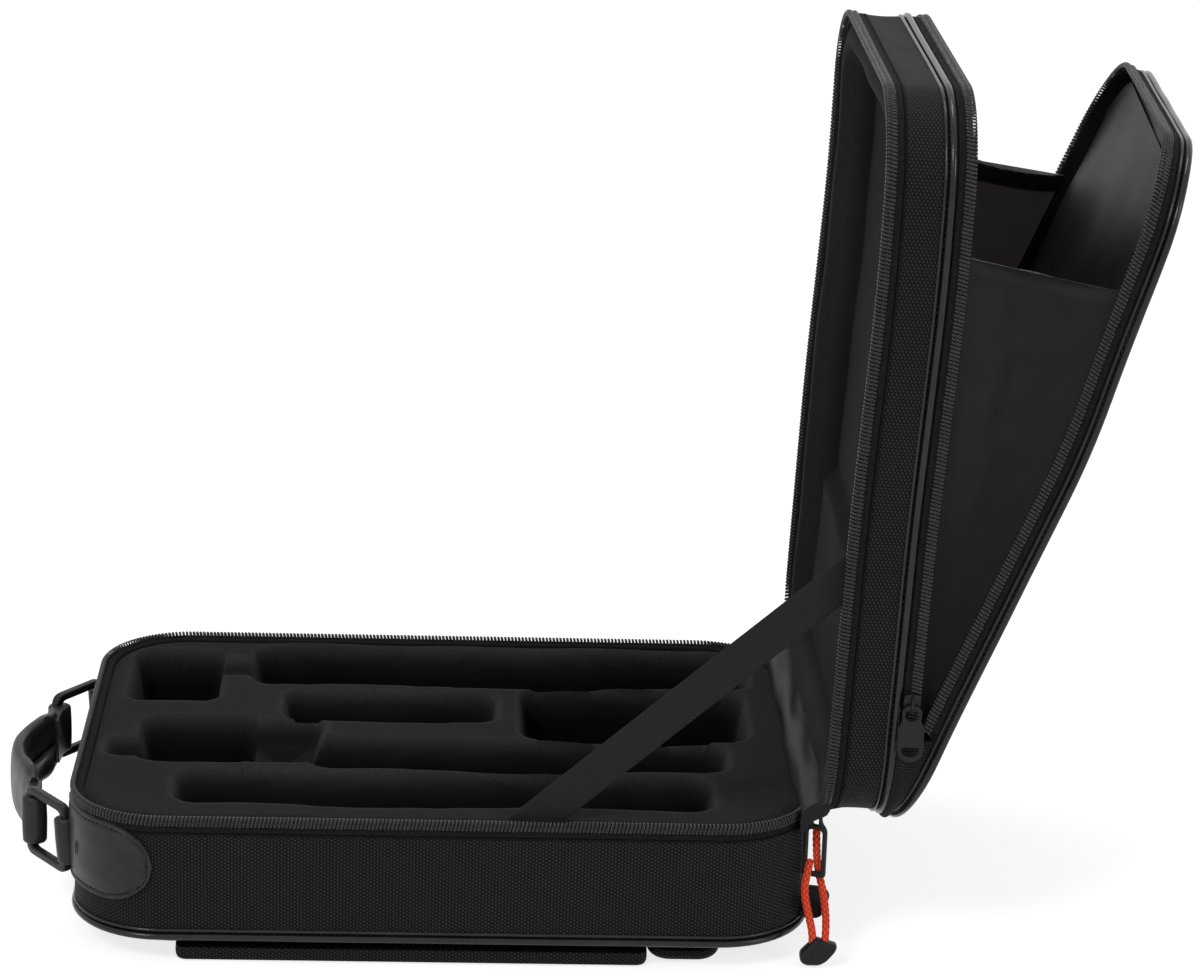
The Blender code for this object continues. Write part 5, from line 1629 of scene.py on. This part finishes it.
@dataclass
class Handle:
    """One flat ring and leather roll at each side, and the leather grip between the two."""

    seat: tuple[float, float, float] = (-196.455 * MM, 93 * MM, 50 * MM)
    reach: float = 35 * MM
    height: float = 34 * MM
    bar: float = 4.4 * MM
    thickness: float = 4.8 * MM
    swing: float = 37.0
    grip_half: float = 47.5 * MM
    grip_bow: float = 13.5 * MM

    def outer(self, side: int) -> Array:
        """The middle of a ring's outer bar."""
        turn = radians(self.swing)
        x, y, z = self.seat
        return np.array((x - self.reach * sin(turn), side * (y - self.reach * cos(turn)), z))

    def make(self, finishes: Finishes) -> None:
        """Builds the rings, the rolls and the grip."""
        half, top = self.bar / 2, self.height / 2
        turn = radians(self.swing)
        loops = []
        for grow, radius in ((half, 7 * MM), (-half, 4 * MM)):
            loops.append(rounded_loop([
                (-grow, -top - grow), (self.reach + grow, -top - grow), (self.reach + grow, top + grow),
                (-grow, top + grow),
            ], radius, 6))
        for side, name in ((-1, "near"), (1, "far")):
            seat = (self.seat[0], side * self.seat[1], self.seat[2])
            piece = Piece(f"handle_flat_ring_{name}")
            place = axes(seat, (-sin(turn), -side * cos(turn), 0), (0, 0, 1))
            piece.plate(loops, self.thickness, 1.1 * MM, place)
            settle(piece.build([finishes.rubber]), f"ring_{name}", "metal", f"handle_ring_{name}")
            self.roll(side, name, finishes)
        self.grip(finishes)

    def roll(self, side: int, name: str, finishes: Finishes) -> None:
        """The leather roll round a ring's outer bar, which narrows into the grip."""
        centre = self.outer(side)
        angles = np.linspace(0.72 * pi, -0.72 * pi, 15)
        outline = [(5.6 * cos(a), 6.4 * sin(a) + 1.6) for a in angles]
        outline += [(-9, -4.2), (-22, -3.8), (-22, 3.4), (-9, 4.6)]
        closed = np.array([*outline, outline[0]]) * MM
        middle = closed.mean(axis=0)
        rows = []
        for z, inset in ((-13.4, 1.6), (-12.9, 0.6), (-12, 0), (-6, -0.25), (0, -0.35), (6, -0.25), (12, 0),
                         (12.9, 0.6), (13.4, 1.6)):
            flat = closed - unit(closed - middle) * inset * MM
            height = np.full(len(flat), centre[2] + z * MM)
            rows.append(np.column_stack([centre[0] + flat[:, 1], centre[1] + side * flat[:, 0], height]))
        piece = Piece(f"handle_roll_{name}")
        piece.tube(np.stack(rows))
        settle(piece.build([finishes.leather], 50), "grip", "leather", f"handle_loop_{name}")

    def grip(self, finishes: Finishes) -> None:
        """The padded leather grip, wrapped from its outer face to a folded slit inside."""
        centre = self.outer(1)
        share = np.linspace(-1, 1, 60)
        bow = self.grip_bow * ((1 + np.cos(pi * share)) / 2 + 1 - share**2) / 2
        path = np.column_stack([centre[0] - bow, self.grip_half * share, np.full(60, centre[2])])
        outer = [(-18.4, 0.6), (-17.6, 2.6), (-13, 4.0), (-6, 4.6), (0, 4.7), (6, 4.6), (13, 4.0),
                 (17.6, 2.6), (18.4, 0.6)]
        inner = [(18.2, -1.8), (15.5, -3.4), (10, -3.0), (5, -4.0), (2.0, -4.4), (0.5, -2.0), (-0.8, -1.8),
                 (-2.4, -4.6), (-6, -3.6), (-11, -3.2), (-15.5, -3.6), (-18.2, -1.8)]
        section = curve_through(np.array([*outer, *inner, outer[0]]) * MM, 2)
        narrow = 1 - 0.12 * smooth_step(np.abs(share), 0.7, 1.0)
        thin = 1 - 0.25 * smooth_step(np.abs(share), 0.8, 1.0)
        sections = section[None] * np.stack([narrow, thin], axis=1)[:, None]
        grid = sweep(path, sections, (-1, 0, 0))
        folds = waves(grid.reshape(-1, 3) * (1.0, 0.5, 1.0), 13 * MM, 51).reshape(grid.shape[:2])
        push = folds * np.where(sections[..., 1] < -1 * MM, 0.7 * MM, 0.12 * MM)
        piece = Piece("leather_grip")
        piece.tube(grid + unit(grid - path[:, None]) * push[..., None])
        obj = piece.build([finishes.leather], 50)
        settle(obj, "grip", "leather", "handle_grip")


@dataclass
class CornerPatch:
    """A leather patch round a corner by the handle, stitched inside its edge, with the ring's sleeve."""

    side: int
    name: str
    low: float = 32 * MM
    high: float = 75.5 * MM
    side_reach: float = 34 * MM
    end_reach: float = 40 * MM
    round_length: float = 30 * MM
    inset: float = 3.0 * MM

    def at(self, along: Array, out: Array | float, z: Array) -> Array:
        """Points beside the corner, with along from its middle towards the long side."""
        arc = CASE.corner * pi / 4
        angle = radians(225) + np.clip(along, -arc, arc) / CASE.corner
        radius = CASE.corner + out
        x = -CASE.length / 2 + CASE.corner + radius * np.cos(angle) + np.maximum(along - arc, 0)
        y = -CASE.width / 2 + CASE.corner + radius * np.sin(angle) - np.minimum(along + arc, 0)
        return np.stack(np.broadcast_arrays(x, y * -self.side, z), axis=-1)

    def half_height(self, along: Array) -> Array:
        """Half the patch's height at a place along it."""
        past = np.clip((along - (self.side_reach - self.round_length)) / self.round_length, 0, 1)
        return (self.high - self.low) / 2 * np.sqrt(np.maximum(1 - past**2.3, 0.0004))

    def make(self, finishes: Finishes, repeater: Repeater) -> None:
        """Builds the patch, its stitches, its sleeve and its eyelet."""
        along = -self.end_reach + (self.side_reach + self.end_reach) * np.linspace(0, 1, 72) ** 0.85
        t = np.sin(np.linspace(-pi / 2, pi / 2, 40))
        half = self.half_height(along)
        z = (self.low + self.high) / 2 + t[:, None] * half[None]
        a = np.broadcast_to(along, z.shape)
        edge = np.minimum((1 - np.abs(t))[:, None] * half[None], self.side_reach - a + 0.15 * MM)
        edge = np.minimum(edge, a + self.end_reach + 0.15 * MM)
        out = 0.2 * MM + 1.7 * MM * smooth_step(edge, -0.4 * MM, 1.1 * MM)
        groove = np.exp(-(((edge - self.inset) / (0.7 * MM)) ** 2))
        out -= 0.8 * MM * groove
        out += smooth_step(edge, self.inset, 14 * MM) * 0.9 * MM
        out += waves(np.stack([a, z, 0 * a], axis=2).reshape(-1, 3), 20 * MM, 31).reshape(z.shape) * 0.18 * MM
        out += 0.6 * MM * np.exp(-(((a + self.end_reach) / (12 * MM)) ** 2))
        front, back = self.at(a, out, z), self.at(a, 0.1 * MM, z)
        loop = np.concatenate([front, back[::-1], front[:1]], axis=0)
        # Painted shade in the stitched groove.
        shades = 0.5 - 0.45 * np.concatenate([groove, 0 * groove, groove[:1]], axis=0)
        piece = Piece(f"leather_corner_{self.name}")
        piece.grid(loop, shade=shades)
        piece.cap(loop[:, 0])
        piece.cap(loop[:, -1])
        self.sleeve(piece)
        settle(piece.build([finishes.leather], 60), "base", "leather", f"corner_patch_{self.name}")
        self.stitches(finishes, repeater)
        self.eyelet(finishes)

    def sleeve(self, piece: Piece) -> None:
        """The roll of leather that holds the ring's inner bar."""
        x, y = -196.455 * MM, self.side * 93 * MM
        angles = np.linspace(0, 2 * pi, 17)
        rows = []
        profile = ((37.6, 0.9), (38.2, 0.2), (39.5, 0), (50, -0.15), (60.5, 0), (61.8, 0.2), (62.4, 0.9))
        for z, inset in profile:
            wide, deep = (5.8 - inset) * MM, (5.2 - inset) * MM
            lean = (z - 50) * 0.07 * MM
            ring = np.column_stack([x + 0.3 * MM - lean + wide * np.cos(angles), y + deep * np.sin(angles)])
            rows.append(np.column_stack([ring, np.full(17, z * MM)]))
        piece.tube(np.stack(rows))

    def stitches(self, finishes: Finishes, repeater: Repeater) -> None:
        """Short stitches in the groove inside the edge."""
        along = np.linspace(-self.end_reach + self.inset, self.side_reach - self.inset, 90)
        stretch = self.side_reach / (self.side_reach - self.inset)
        half = self.half_height((along - self.side_reach) * stretch + self.side_reach + self.inset * stretch)
        half = np.maximum(half - self.inset, 0.2 * MM)
        middle = (self.low + self.high) / 2
        a, z = np.concatenate([along, along[::-1]]), np.concatenate([middle + half, middle - half[::-1]])
        path = self.at(a, 1.62 * MM, z)
        across = unit(self.at(a, 2.62 * MM, z) - path)
        rows = []
        ends = ((1.15, 0.08), (0.95, 0.24), (0.4, 0.33))
        profile = (*((-reach, radius) for reach, radius in ends), *reversed(ends))
        for reach, radius in profile:
            angles = np.linspace(0, 2 * pi, 7)
            rows.append([(radius * cos(k) * MM, radius * sin(k) * MM, reach * MM) for k in angles])
        obj = repeater.along(
            f"corner_stitches_{self.name}", path, across, unit(np.gradient(path, axis=0)), np.array(rows),
            finishes.thread, 3.1 * MM,
        )
        settle(obj, "base", "leather")

    def eyelet(self, finishes: Finishes) -> None:
        """The oval eyelet in the patch by the handle."""
        along, z = np.array([-14 * MM, -13 * MM]), np.full(2, 53.5 * MM)
        centre, beside = self.at(along, 2.5 * MM, z)
        ahead = unit(beside - centre)
        out = np.cross(ahead, (0, 0, 1)) * -self.side
        angles = np.linspace(0, 2 * pi, 25)
        path = centre + np.outer(np.cos(angles) * 1.5 * MM, ahead)
        path = path + np.outer(np.sin(angles) * 3.6 * MM, (0, 0, 1))
        piece = Piece(f"corner_eyelet_{self.name}")
        piece.tube(sweep(path, oval(1.3 * MM, 1.5 * MM, 8), out, closed=True), closed=True)
        discs = [path - out * 0.2 * MM, path - out * 0.8 * MM]
        piece.grid(np.stack(discs))
        for disc in discs:
            piece.cap(disc)
        settle(piece.build([finishes.leather], 60), "base", "leather", f"corner_rivet_{self.name}")


@dataclass(frozen=True)
class Pad:
    """A rounded slab under the case, in millimetres, flat below where it lies on something."""

    name: str
    node: str
    low: tuple[float, float]
    high: tuple[float, float]
    corner: float
    profile: tuple[tuple[float, float], ...]
    fill: float = 0.0

    def make(self, finishes: Finishes) -> None:
        """Builds the slab, swelling sideways where it is filled."""
        outline = Outline(np.array(self.low) * MM, np.array(self.high) * MM, self.corner * MM, 8, 8 * MM)
        section = (curve_through(self.profile, 3) if self.fill else np.array(self.profile, float)) * MM
        piece = Piece(self.name)
        grid, uv = wall_grid(section, outline=outline)
        grid[..., 2] = np.maximum(grid[..., 2], self.profile[0][1] * MM)
        piece.grid(grid, uv)
        for out, z in (section[0], section[-1]):
            piece.grid(*panel_grid(out, z, rings=5, outline=outline))
        obj = piece.build([finishes.cloth])
        settle(obj, "base", "cloth", self.node)


PADS = (
    Pad("back_pad_cloth", "back_pad", (-170, -129), (152, 129), 30,
        ((-26, 8.4), (-9, 7.9), (-5.5, 7.9), (-2.0, 8.8), (-0.4, 11), (0, 13.2), (0, 14.8)), 0.6),
    Pad("strap_pocket_cloth", "strap_pocket", (-137, -132), (108, 132), 6,
        ((-20, 0.0), (-2.2, 0.0), (-0.6, 0.5), (0, 1.8), (0.2, 4), (0, 7.4))),
    Pad("harness_end_cloth", "harness_end", (108.4, -128), (146.3, 128), 12,
        ((-12, 0.1), (-6, 0.4), (-2.4, 1.6), (-0.4, 3.8), (0, 5.6), (-0.4, 7.4)), 0.25),
)


@dataclass
class AnchorLoop:
    """A folded webbing loop on a corner of the hinge end, which a shoulder strap clips to."""

    side: int
    name: str
    angle: float = 14.0
    middle_z: float = 24.0 * MM
    width: float = 20 * MM

    def make(self, finishes: Finishes) -> None:
        """Builds the loop."""
        angle = self.side * radians(self.angle)
        out, across = np.array((cos(angle), sin(angle), 0)), np.array((-sin(angle), cos(angle), 0))
        middle = (CASE.length / 2 - CASE.corner, self.side * (CASE.width / 2 - CASE.corner), self.middle_z)
        root = np.array(middle) + out * (CASE.corner + 0.3 * MM)
        fold = [(0, -4.4), (4, -4.5), (9, -4.1), (11.6, -1.6), (11.6, 1.6), (9, 4.1), (4, 4.5), (0, 4.4)]
        shape = curve_through(fold, 5) * MM
        path = root + np.outer(shape[:, 0], out) + np.outer(shape[:, 1], (0, 0, 1))
        piece = Piece(f"anchor_loop_{self.name}")
        piece.tube(sweep(path, oval(self.width, 1.7 * MM, 18, 0.35), np.cross(path[1] - path[0], across)))
        settle(piece.build([finishes.webbing], 60), "base", "webbing", f"strap_loop_{self.name}")


@dataclass
class PullCord:
    """The braided orange cord of the main pull, and the folded tab that holds its bend."""

    diameter: float = 4.2 * MM
    length: float = 130 * MM
    strands: int = 8
    braid_pitch: float = 6.4 * MM
    route: tuple[tuple[float, float, float], ...] = (
        (195.9, -106.3, 69.6), (195.8, -107.6, 64.6), (196.1, -108.9, 58.0), (196.9, -107.6, 50.0),
        (198.2, -106.5, 43.0), (199.9, -107.4, 36.5), (201.2, -111.8, 30.0), (201.6, -118.6, 24.4),
        (201.3, -124.8, 19.4), (200.9, -127.2, 13.6), (200.3, -127.4, 8.6), (197.7, -127.4, 5.6),
        (195.1, -127.4, 8.6), (194.5, -127.2, 13.6), (193.9, -125.2, 19.4), (192.6, -120.8, 24.8),
        (191.2, -117.2, 30.6), (190.4, -115.2, 36.0), (190.6, -113.6, 41.0), (192.0, -110.6, 47.0),
        (193.2, -107.0, 51.6),
    )

    def make(self, finishes: Finishes) -> None:
        """Builds the cord with its strands in relief, and the tab."""
        path = curve_through(np.array(self.route) * MM, 12)
        steps = np.concatenate([[0], np.cumsum(np.linalg.norm(np.diff(path, axis=0), axis=1))])
        even = np.arange(0, steps[-1], 0.45 * MM)
        path = np.stack([np.interp(even, steps, path[:, k]) for k in range(3)], axis=1)
        LOG.info("pull cord: %.1f mm long", steps[-1] / MM)
        turn = np.linspace(0, 2 * pi, 41)[None]
        phase = even[:, None] / self.braid_pitch * 2 * pi
        half = self.strands / 2
        left, right = np.cos(half * turn + phase * half / 2), np.cos(half * turn - phase * half / 2)
        over = np.sin(phase * half / 2) * np.cos(half * turn) > 0
        relief = np.clip(np.where(over, left, right), -0.2, 1)
        taper = np.minimum(1, 0.3 + np.minimum(even, even[-1] - even)[:, None] / (1.2 * MM))
        radius = self.diameter / 2 * (0.9 + 0.11 * relief) * taper
        section = np.stack([radius * np.cos(turn), radius * np.sin(turn)], axis=2)
        piece = Piece("orange_pull_cord")
        # The shade is the strands' relief: painted shade in the valleys between them.
        piece.tube(sweep(path, section, (1, 0, 0)), shade=np.clip(relief * 0.8 + 0.2, 0, 1))
        obj = piece.build([finishes.braid], 180)
        settle(obj, "pull", "cord", "pull_cord")
        self.tab(finishes)

    def tab(self, finishes: Finishes) -> bpy.types.Object:
        """The folded rubber tab, with a crease across its front."""
        place = axes((197.6 * MM, -127.4 * MM, 0), (1, 0, 0), (0, 0, 1))
        outline = [(-1.9, 16.0), (9.7, 12.4), (9.4, 9.6), (4.6, 3.2), (0.8, 0.8), (-6.4, 0.8), (-9.4, 2.8),
                   (-9.9, 7.4)]
        flap = [(-1.5, 14.6), (8.9, 11.6), (8.6, 9.4), (4.2, 3.8), (0.4, 1.9), (-5.0, 1.9)]
        piece = Piece("pull_tab")
        piece.plate([rounded_loop(np.array(outline) * MM, 1.8 * MM)], 7.6 * MM, 2.2 * MM, place)
        front = Matrix.Translation((0, -3.4 * MM, 0)) @ place
        piece.plate([rounded_loop(np.array(flap) * MM, 1.4 * MM)], 1.6 * MM, 0.6 * MM, front)
        return settle(piece.build([finishes.rubber]), "pull", "leather", "cord_tab")


@dataclass
class MainPull:
    """The flat frame that hangs on the main slider's bail."""

    seat: tuple[float, float, float] = (195.11 * MM, -109.53 * MM, 76.8 * MM)
    angle: float = -24.0

    def make(self, finishes: Finishes) -> None:
        """Builds the frame."""
        turn = radians(self.angle)
        place = axes(self.seat, (cos(turn), sin(turn), 0), (0, 0, 1))
        shapes = (
            ([(-3.1, 2.6), (3.1, 2.6), (3.3, -3.2), (6.3, -6.8), (6.4, -34.0), (-6.4, -34.0), (-6.3, -6.8),
              (-3.3, -3.2)], 2.2),
            ([(-1.5, 1.0), (1.5, 1.0), (1.5, -4.6), (-1.5, -4.6)], 0.9),
            ([(-3.9, -7.4), (3.9, -7.4), (3.9, -31.2), (-3.9, -31.2)], 2.2),
        )
        outlines = [rounded_loop(np.array(corners) * MM, radius * MM) for corners, radius in shapes]
        piece = Piece("pull_flat_frame")
        piece.plate(outlines, 2.4 * MM, 0.7 * MM, place)
        settle(piece.build([finishes.rubber]), "pull", "metal", "main_pull_frame")


class PocketPull:
    """The pocket slider's tab, with a round eye above and a cut-out below."""

    def make(self, finishes: Finishes) -> None:
        """Builds the tab where the CAD one hangs."""
        low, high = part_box("pocket_pull_tab")
        middle = ((low[0] + high[0]) / 2, (low[1] + high[1]) / 2, high[2])
        dome = [(5.6 * cos(a), -5.4 + 5.4 * sin(a)) for a in np.linspace(0.12 * pi, 0.88 * pi, 9)]
        foot = [(-6.9 * cos(a), -24.6 - 6.4 * sin(a)) for a in np.linspace(0, pi, 11)]
        outline = [*dome, (-4.9, -8.6), (-6.6, -12.5), *foot, (6.6, -12.5), (4.9, -8.6)]
        eye = [(3.5 * cos(a), -5.4 + 3.3 * sin(a)) for a in np.linspace(0, 2 * pi, 19)[:-1]]
        arc = [(-4.4 * cos(a), -24.6 - 3.6 * sin(a)) for a in np.linspace(0.05, pi - 0.05, 9)]
        shapes = [np.array(points) * MM for points in (outline, eye, [(-4.6, -23.2), *arc, (4.6, -23.2)])]
        piece = Piece("pocket_zip_tab")
        piece.plate(shapes, 1.9 * MM, 0.5 * MM, axes(middle, (1, 0, 0), (0, 0, 1)))
        settle(piece.build([finishes.rubber]), "pocket_pull", "metal", "pocket_pull_tab")


class Studio:
    """The camera at the photograph's angle, the pale floor and the soft lights."""

    PLACE = (-0.28 * MM, -1921.3 * MM, 847.6 * MM)
    YAW, PITCH, ROLL = 2.431, 18.137, 1.837
    FOCAL_SHARE = 3774.4 / 1200

    def camera(self) -> None:
        """Sets the camera that was fitted to the photograph."""
        yaw, pitch, roll = radians(self.YAW), radians(self.PITCH), radians(self.ROLL)
        ahead = Vector((sin(yaw) * cos(pitch), cos(yaw) * cos(pitch), -sin(pitch)))
        level = Vector((cos(yaw), -sin(yaw), 0))
        above = level.cross(ahead)
        right = level * cos(roll) + above * sin(roll)
        up = above * cos(roll) - level * sin(roll)
        data = bpy.data.cameras.new("photo_camera")
        data.sensor_fit, data.sensor_width = "HORIZONTAL", 36.0
        data.lens = 36.0 * self.FOCAL_SHARE
        data.clip_start, data.clip_end = 0.05, 50.0
        camera = bpy.data.objects.new("photo_camera", data)
        rotation = Matrix((right, up, -ahead)).transposed().to_4x4()
        camera.matrix_world = Matrix.Translation(self.PLACE) @ rotation
        bpy.context.scene.collection.objects.link(camera)
        bpy.context.scene.camera = camera

    def lift(
        self, tree: bpy.types.NodeTree, base: bpy.types.NodeSocket, white: float, lit: float
    ) -> bpy.types.NodeSocket:
        """Mixes white light into what the camera and reflections see of a shader.

        Args:
            tree: the material's or world's nodes.
            base: the shader, which all other light gets.
            white: the strength of the white light.
            lit: how much of the base stays in the mixture.

        Returns:
            The shader to use.
        """
        path = tree.nodes.new("ShaderNodeLightPath")
        seen, also = tree.nodes.new("ShaderNodeMath"), tree.nodes.new("ShaderNodeMath")
        seen.operation = also.operation = "MAXIMUM"
        glow = tree.nodes.new("ShaderNodeEmission")
        glow.inputs["Strength"].default_value = white
        both, choice = tree.nodes.new("ShaderNodeMixShader"), tree.nodes.new("ShaderNodeMixShader")
        both.inputs[0].default_value = lit
        links = (
            (path.outputs["Is Camera Ray"], seen.inputs[0]),
            (path.outputs["Is Glossy Ray"], seen.inputs[1]),
            (seen.outputs[0], also.inputs[0]),
            (path.outputs["Is Transmission Ray"], also.inputs[1]),
            (glow.outputs[0], both.inputs[1]),
            (base, both.inputs[2]),
            (also.outputs[0], choice.inputs[0]),
            (base, choice.inputs[1]),
            (both.outputs[0], choice.inputs[2]),
        )
        for source, target in links:
            tree.links.new(source, target)
        return choice.outputs[0]

    def floor(self) -> None:
        """The pale floor, white to the camera but for the object's shadow."""
        mesh = bpy.data.meshes.new("floor")
        reach, z = 12.0, -0.6 * MM
        corners = [(-reach, -reach, z), (reach, -reach, z), (reach, reach, z), (-reach, reach, z)]
        mesh.from_pydata(corners, [], [(0, 1, 2, 3)])
        shader = Shader("pale_floor", 0.95, uniform={"Specular IOR Level": 0.0})
        shader.colour(grey(0.86))
        shown = self.lift(shader.tree, shader.bsdf.outputs[0], 1.55, 0.5)
        shader.tree.links.new(shown, shader.tree.nodes["Material Output"].inputs[0])
        mesh.materials.append(shader.material)
        obj = bpy.data.objects.new("floor", mesh)
        bpy.context.scene.collection.objects.link(obj)

    def light(self, name: str, place: Sequence[float], size: float, power: float) -> None:
        """One round soft lamp that faces the case."""
        data = bpy.data.lights.new(name, "AREA")
        data.shape, data.size, data.energy = "DISK", size, power
        lamp = bpy.data.objects.new(name, data)
        direction = Vector((0.05, 0.0, 0.15)) - Vector(place)
        turn = direction.to_track_quat("-Z", "Y").to_matrix().to_4x4()
        lamp.matrix_world = Matrix.Translation(place) @ turn
        bpy.context.scene.collection.objects.link(lamp)

    def world(self) -> None:
        """White behind the object, and a softer white for what lights it."""
        world = bpy.data.worlds.new("studio")
        bpy.context.scene.world = world
        world.use_nodes = True
        tree = world.node_tree
        tree.nodes.clear()
        output = tree.nodes.new("ShaderNodeOutputWorld")
        plain = tree.nodes.new("ShaderNodeBackground")
        plain.inputs[0].default_value, plain.inputs[1].default_value = (1, 1, 1, 1), 0.45
        tree.links.new(self.lift(tree, plain.outputs[0], 1.0, 0.0), output.inputs[0])

    def make(self) -> None:
        """Builds the whole stage."""
        bpy.context.scene.view_settings.view_transform = "Standard"
        self.camera()
        self.floor()
        self.world()
        self.light("key", (-1.3, -1.9, 2.3), 0.8, 31)
        self.light("fill", (2.2, -1.6, 1.3), 0.9, 13)
        self.light("top", (0.1, 0.5, 2.6), 1.0, 18)


def main() -> None:
    """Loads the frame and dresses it."""
    logging.basicConfig(level=logging.INFO)
    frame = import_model()
    Studio().make()
    finishes, repeater = Finishes(), Repeater()
    PullCord().make(finishes)
    Tub("base", CASE.base_depth, Half.BASE, ("base_cloth", "base_core"), 62 * MM).make(finishes)
    Tub("lid", CASE.lid_depth, Half.LID, ("lid_cloth", "lid_core"), 28.6 * MM, seed=31).make(finishes)
    Tub(
        "cover", CASE.cover_depth, Half.COVER, ("cover_cloth",), 11.9 * MM, wall=2.2 * MM, crown=COVER_CROWN,
        panel_swell=1.0 * MM, seed=61, stops_at_zip_end=True,
    ).make(finishes)
    for level, half in (("base", Half.BASE), ("lid", Half.LID), ("pocket", Half.LID), ("cover", Half.COVER)):
        ZipHalf(level, half).make(finishes, repeater)
    edges = (
        ("base", CASE.base_depth, Half.BASE),
        ("lid", CASE.lid_depth, Half.LID),
        ("cover", CASE.cover_depth, Half.COVER),
    )
    for level, depth, half in edges:
        Piping(level, depth, half).make(finishes)
    for part in (Insert(), LidLining(), StayStrap(), HingeSpine(), PocketWall(), CoverInside(), Guard()):
        part.make(finishes)
    for side, name, seed in ((-1, "near", 81), (1, "far", 85)):
        Gusset(side, name, seed).make(finishes)
        CornerPatch(side, name).make(finishes, repeater)
        AnchorLoop(side, name).make(finishes)
    for part in (Handle(), *PADS, MainPull(), PocketPull()):
        part.make(finishes)
    for name in ("main_slider", "pocket_slider"):
        for slot in frame["nodes"][name].material_slots:
            slot.material = finishes.metal


if __name__ == "__main__":
    main()
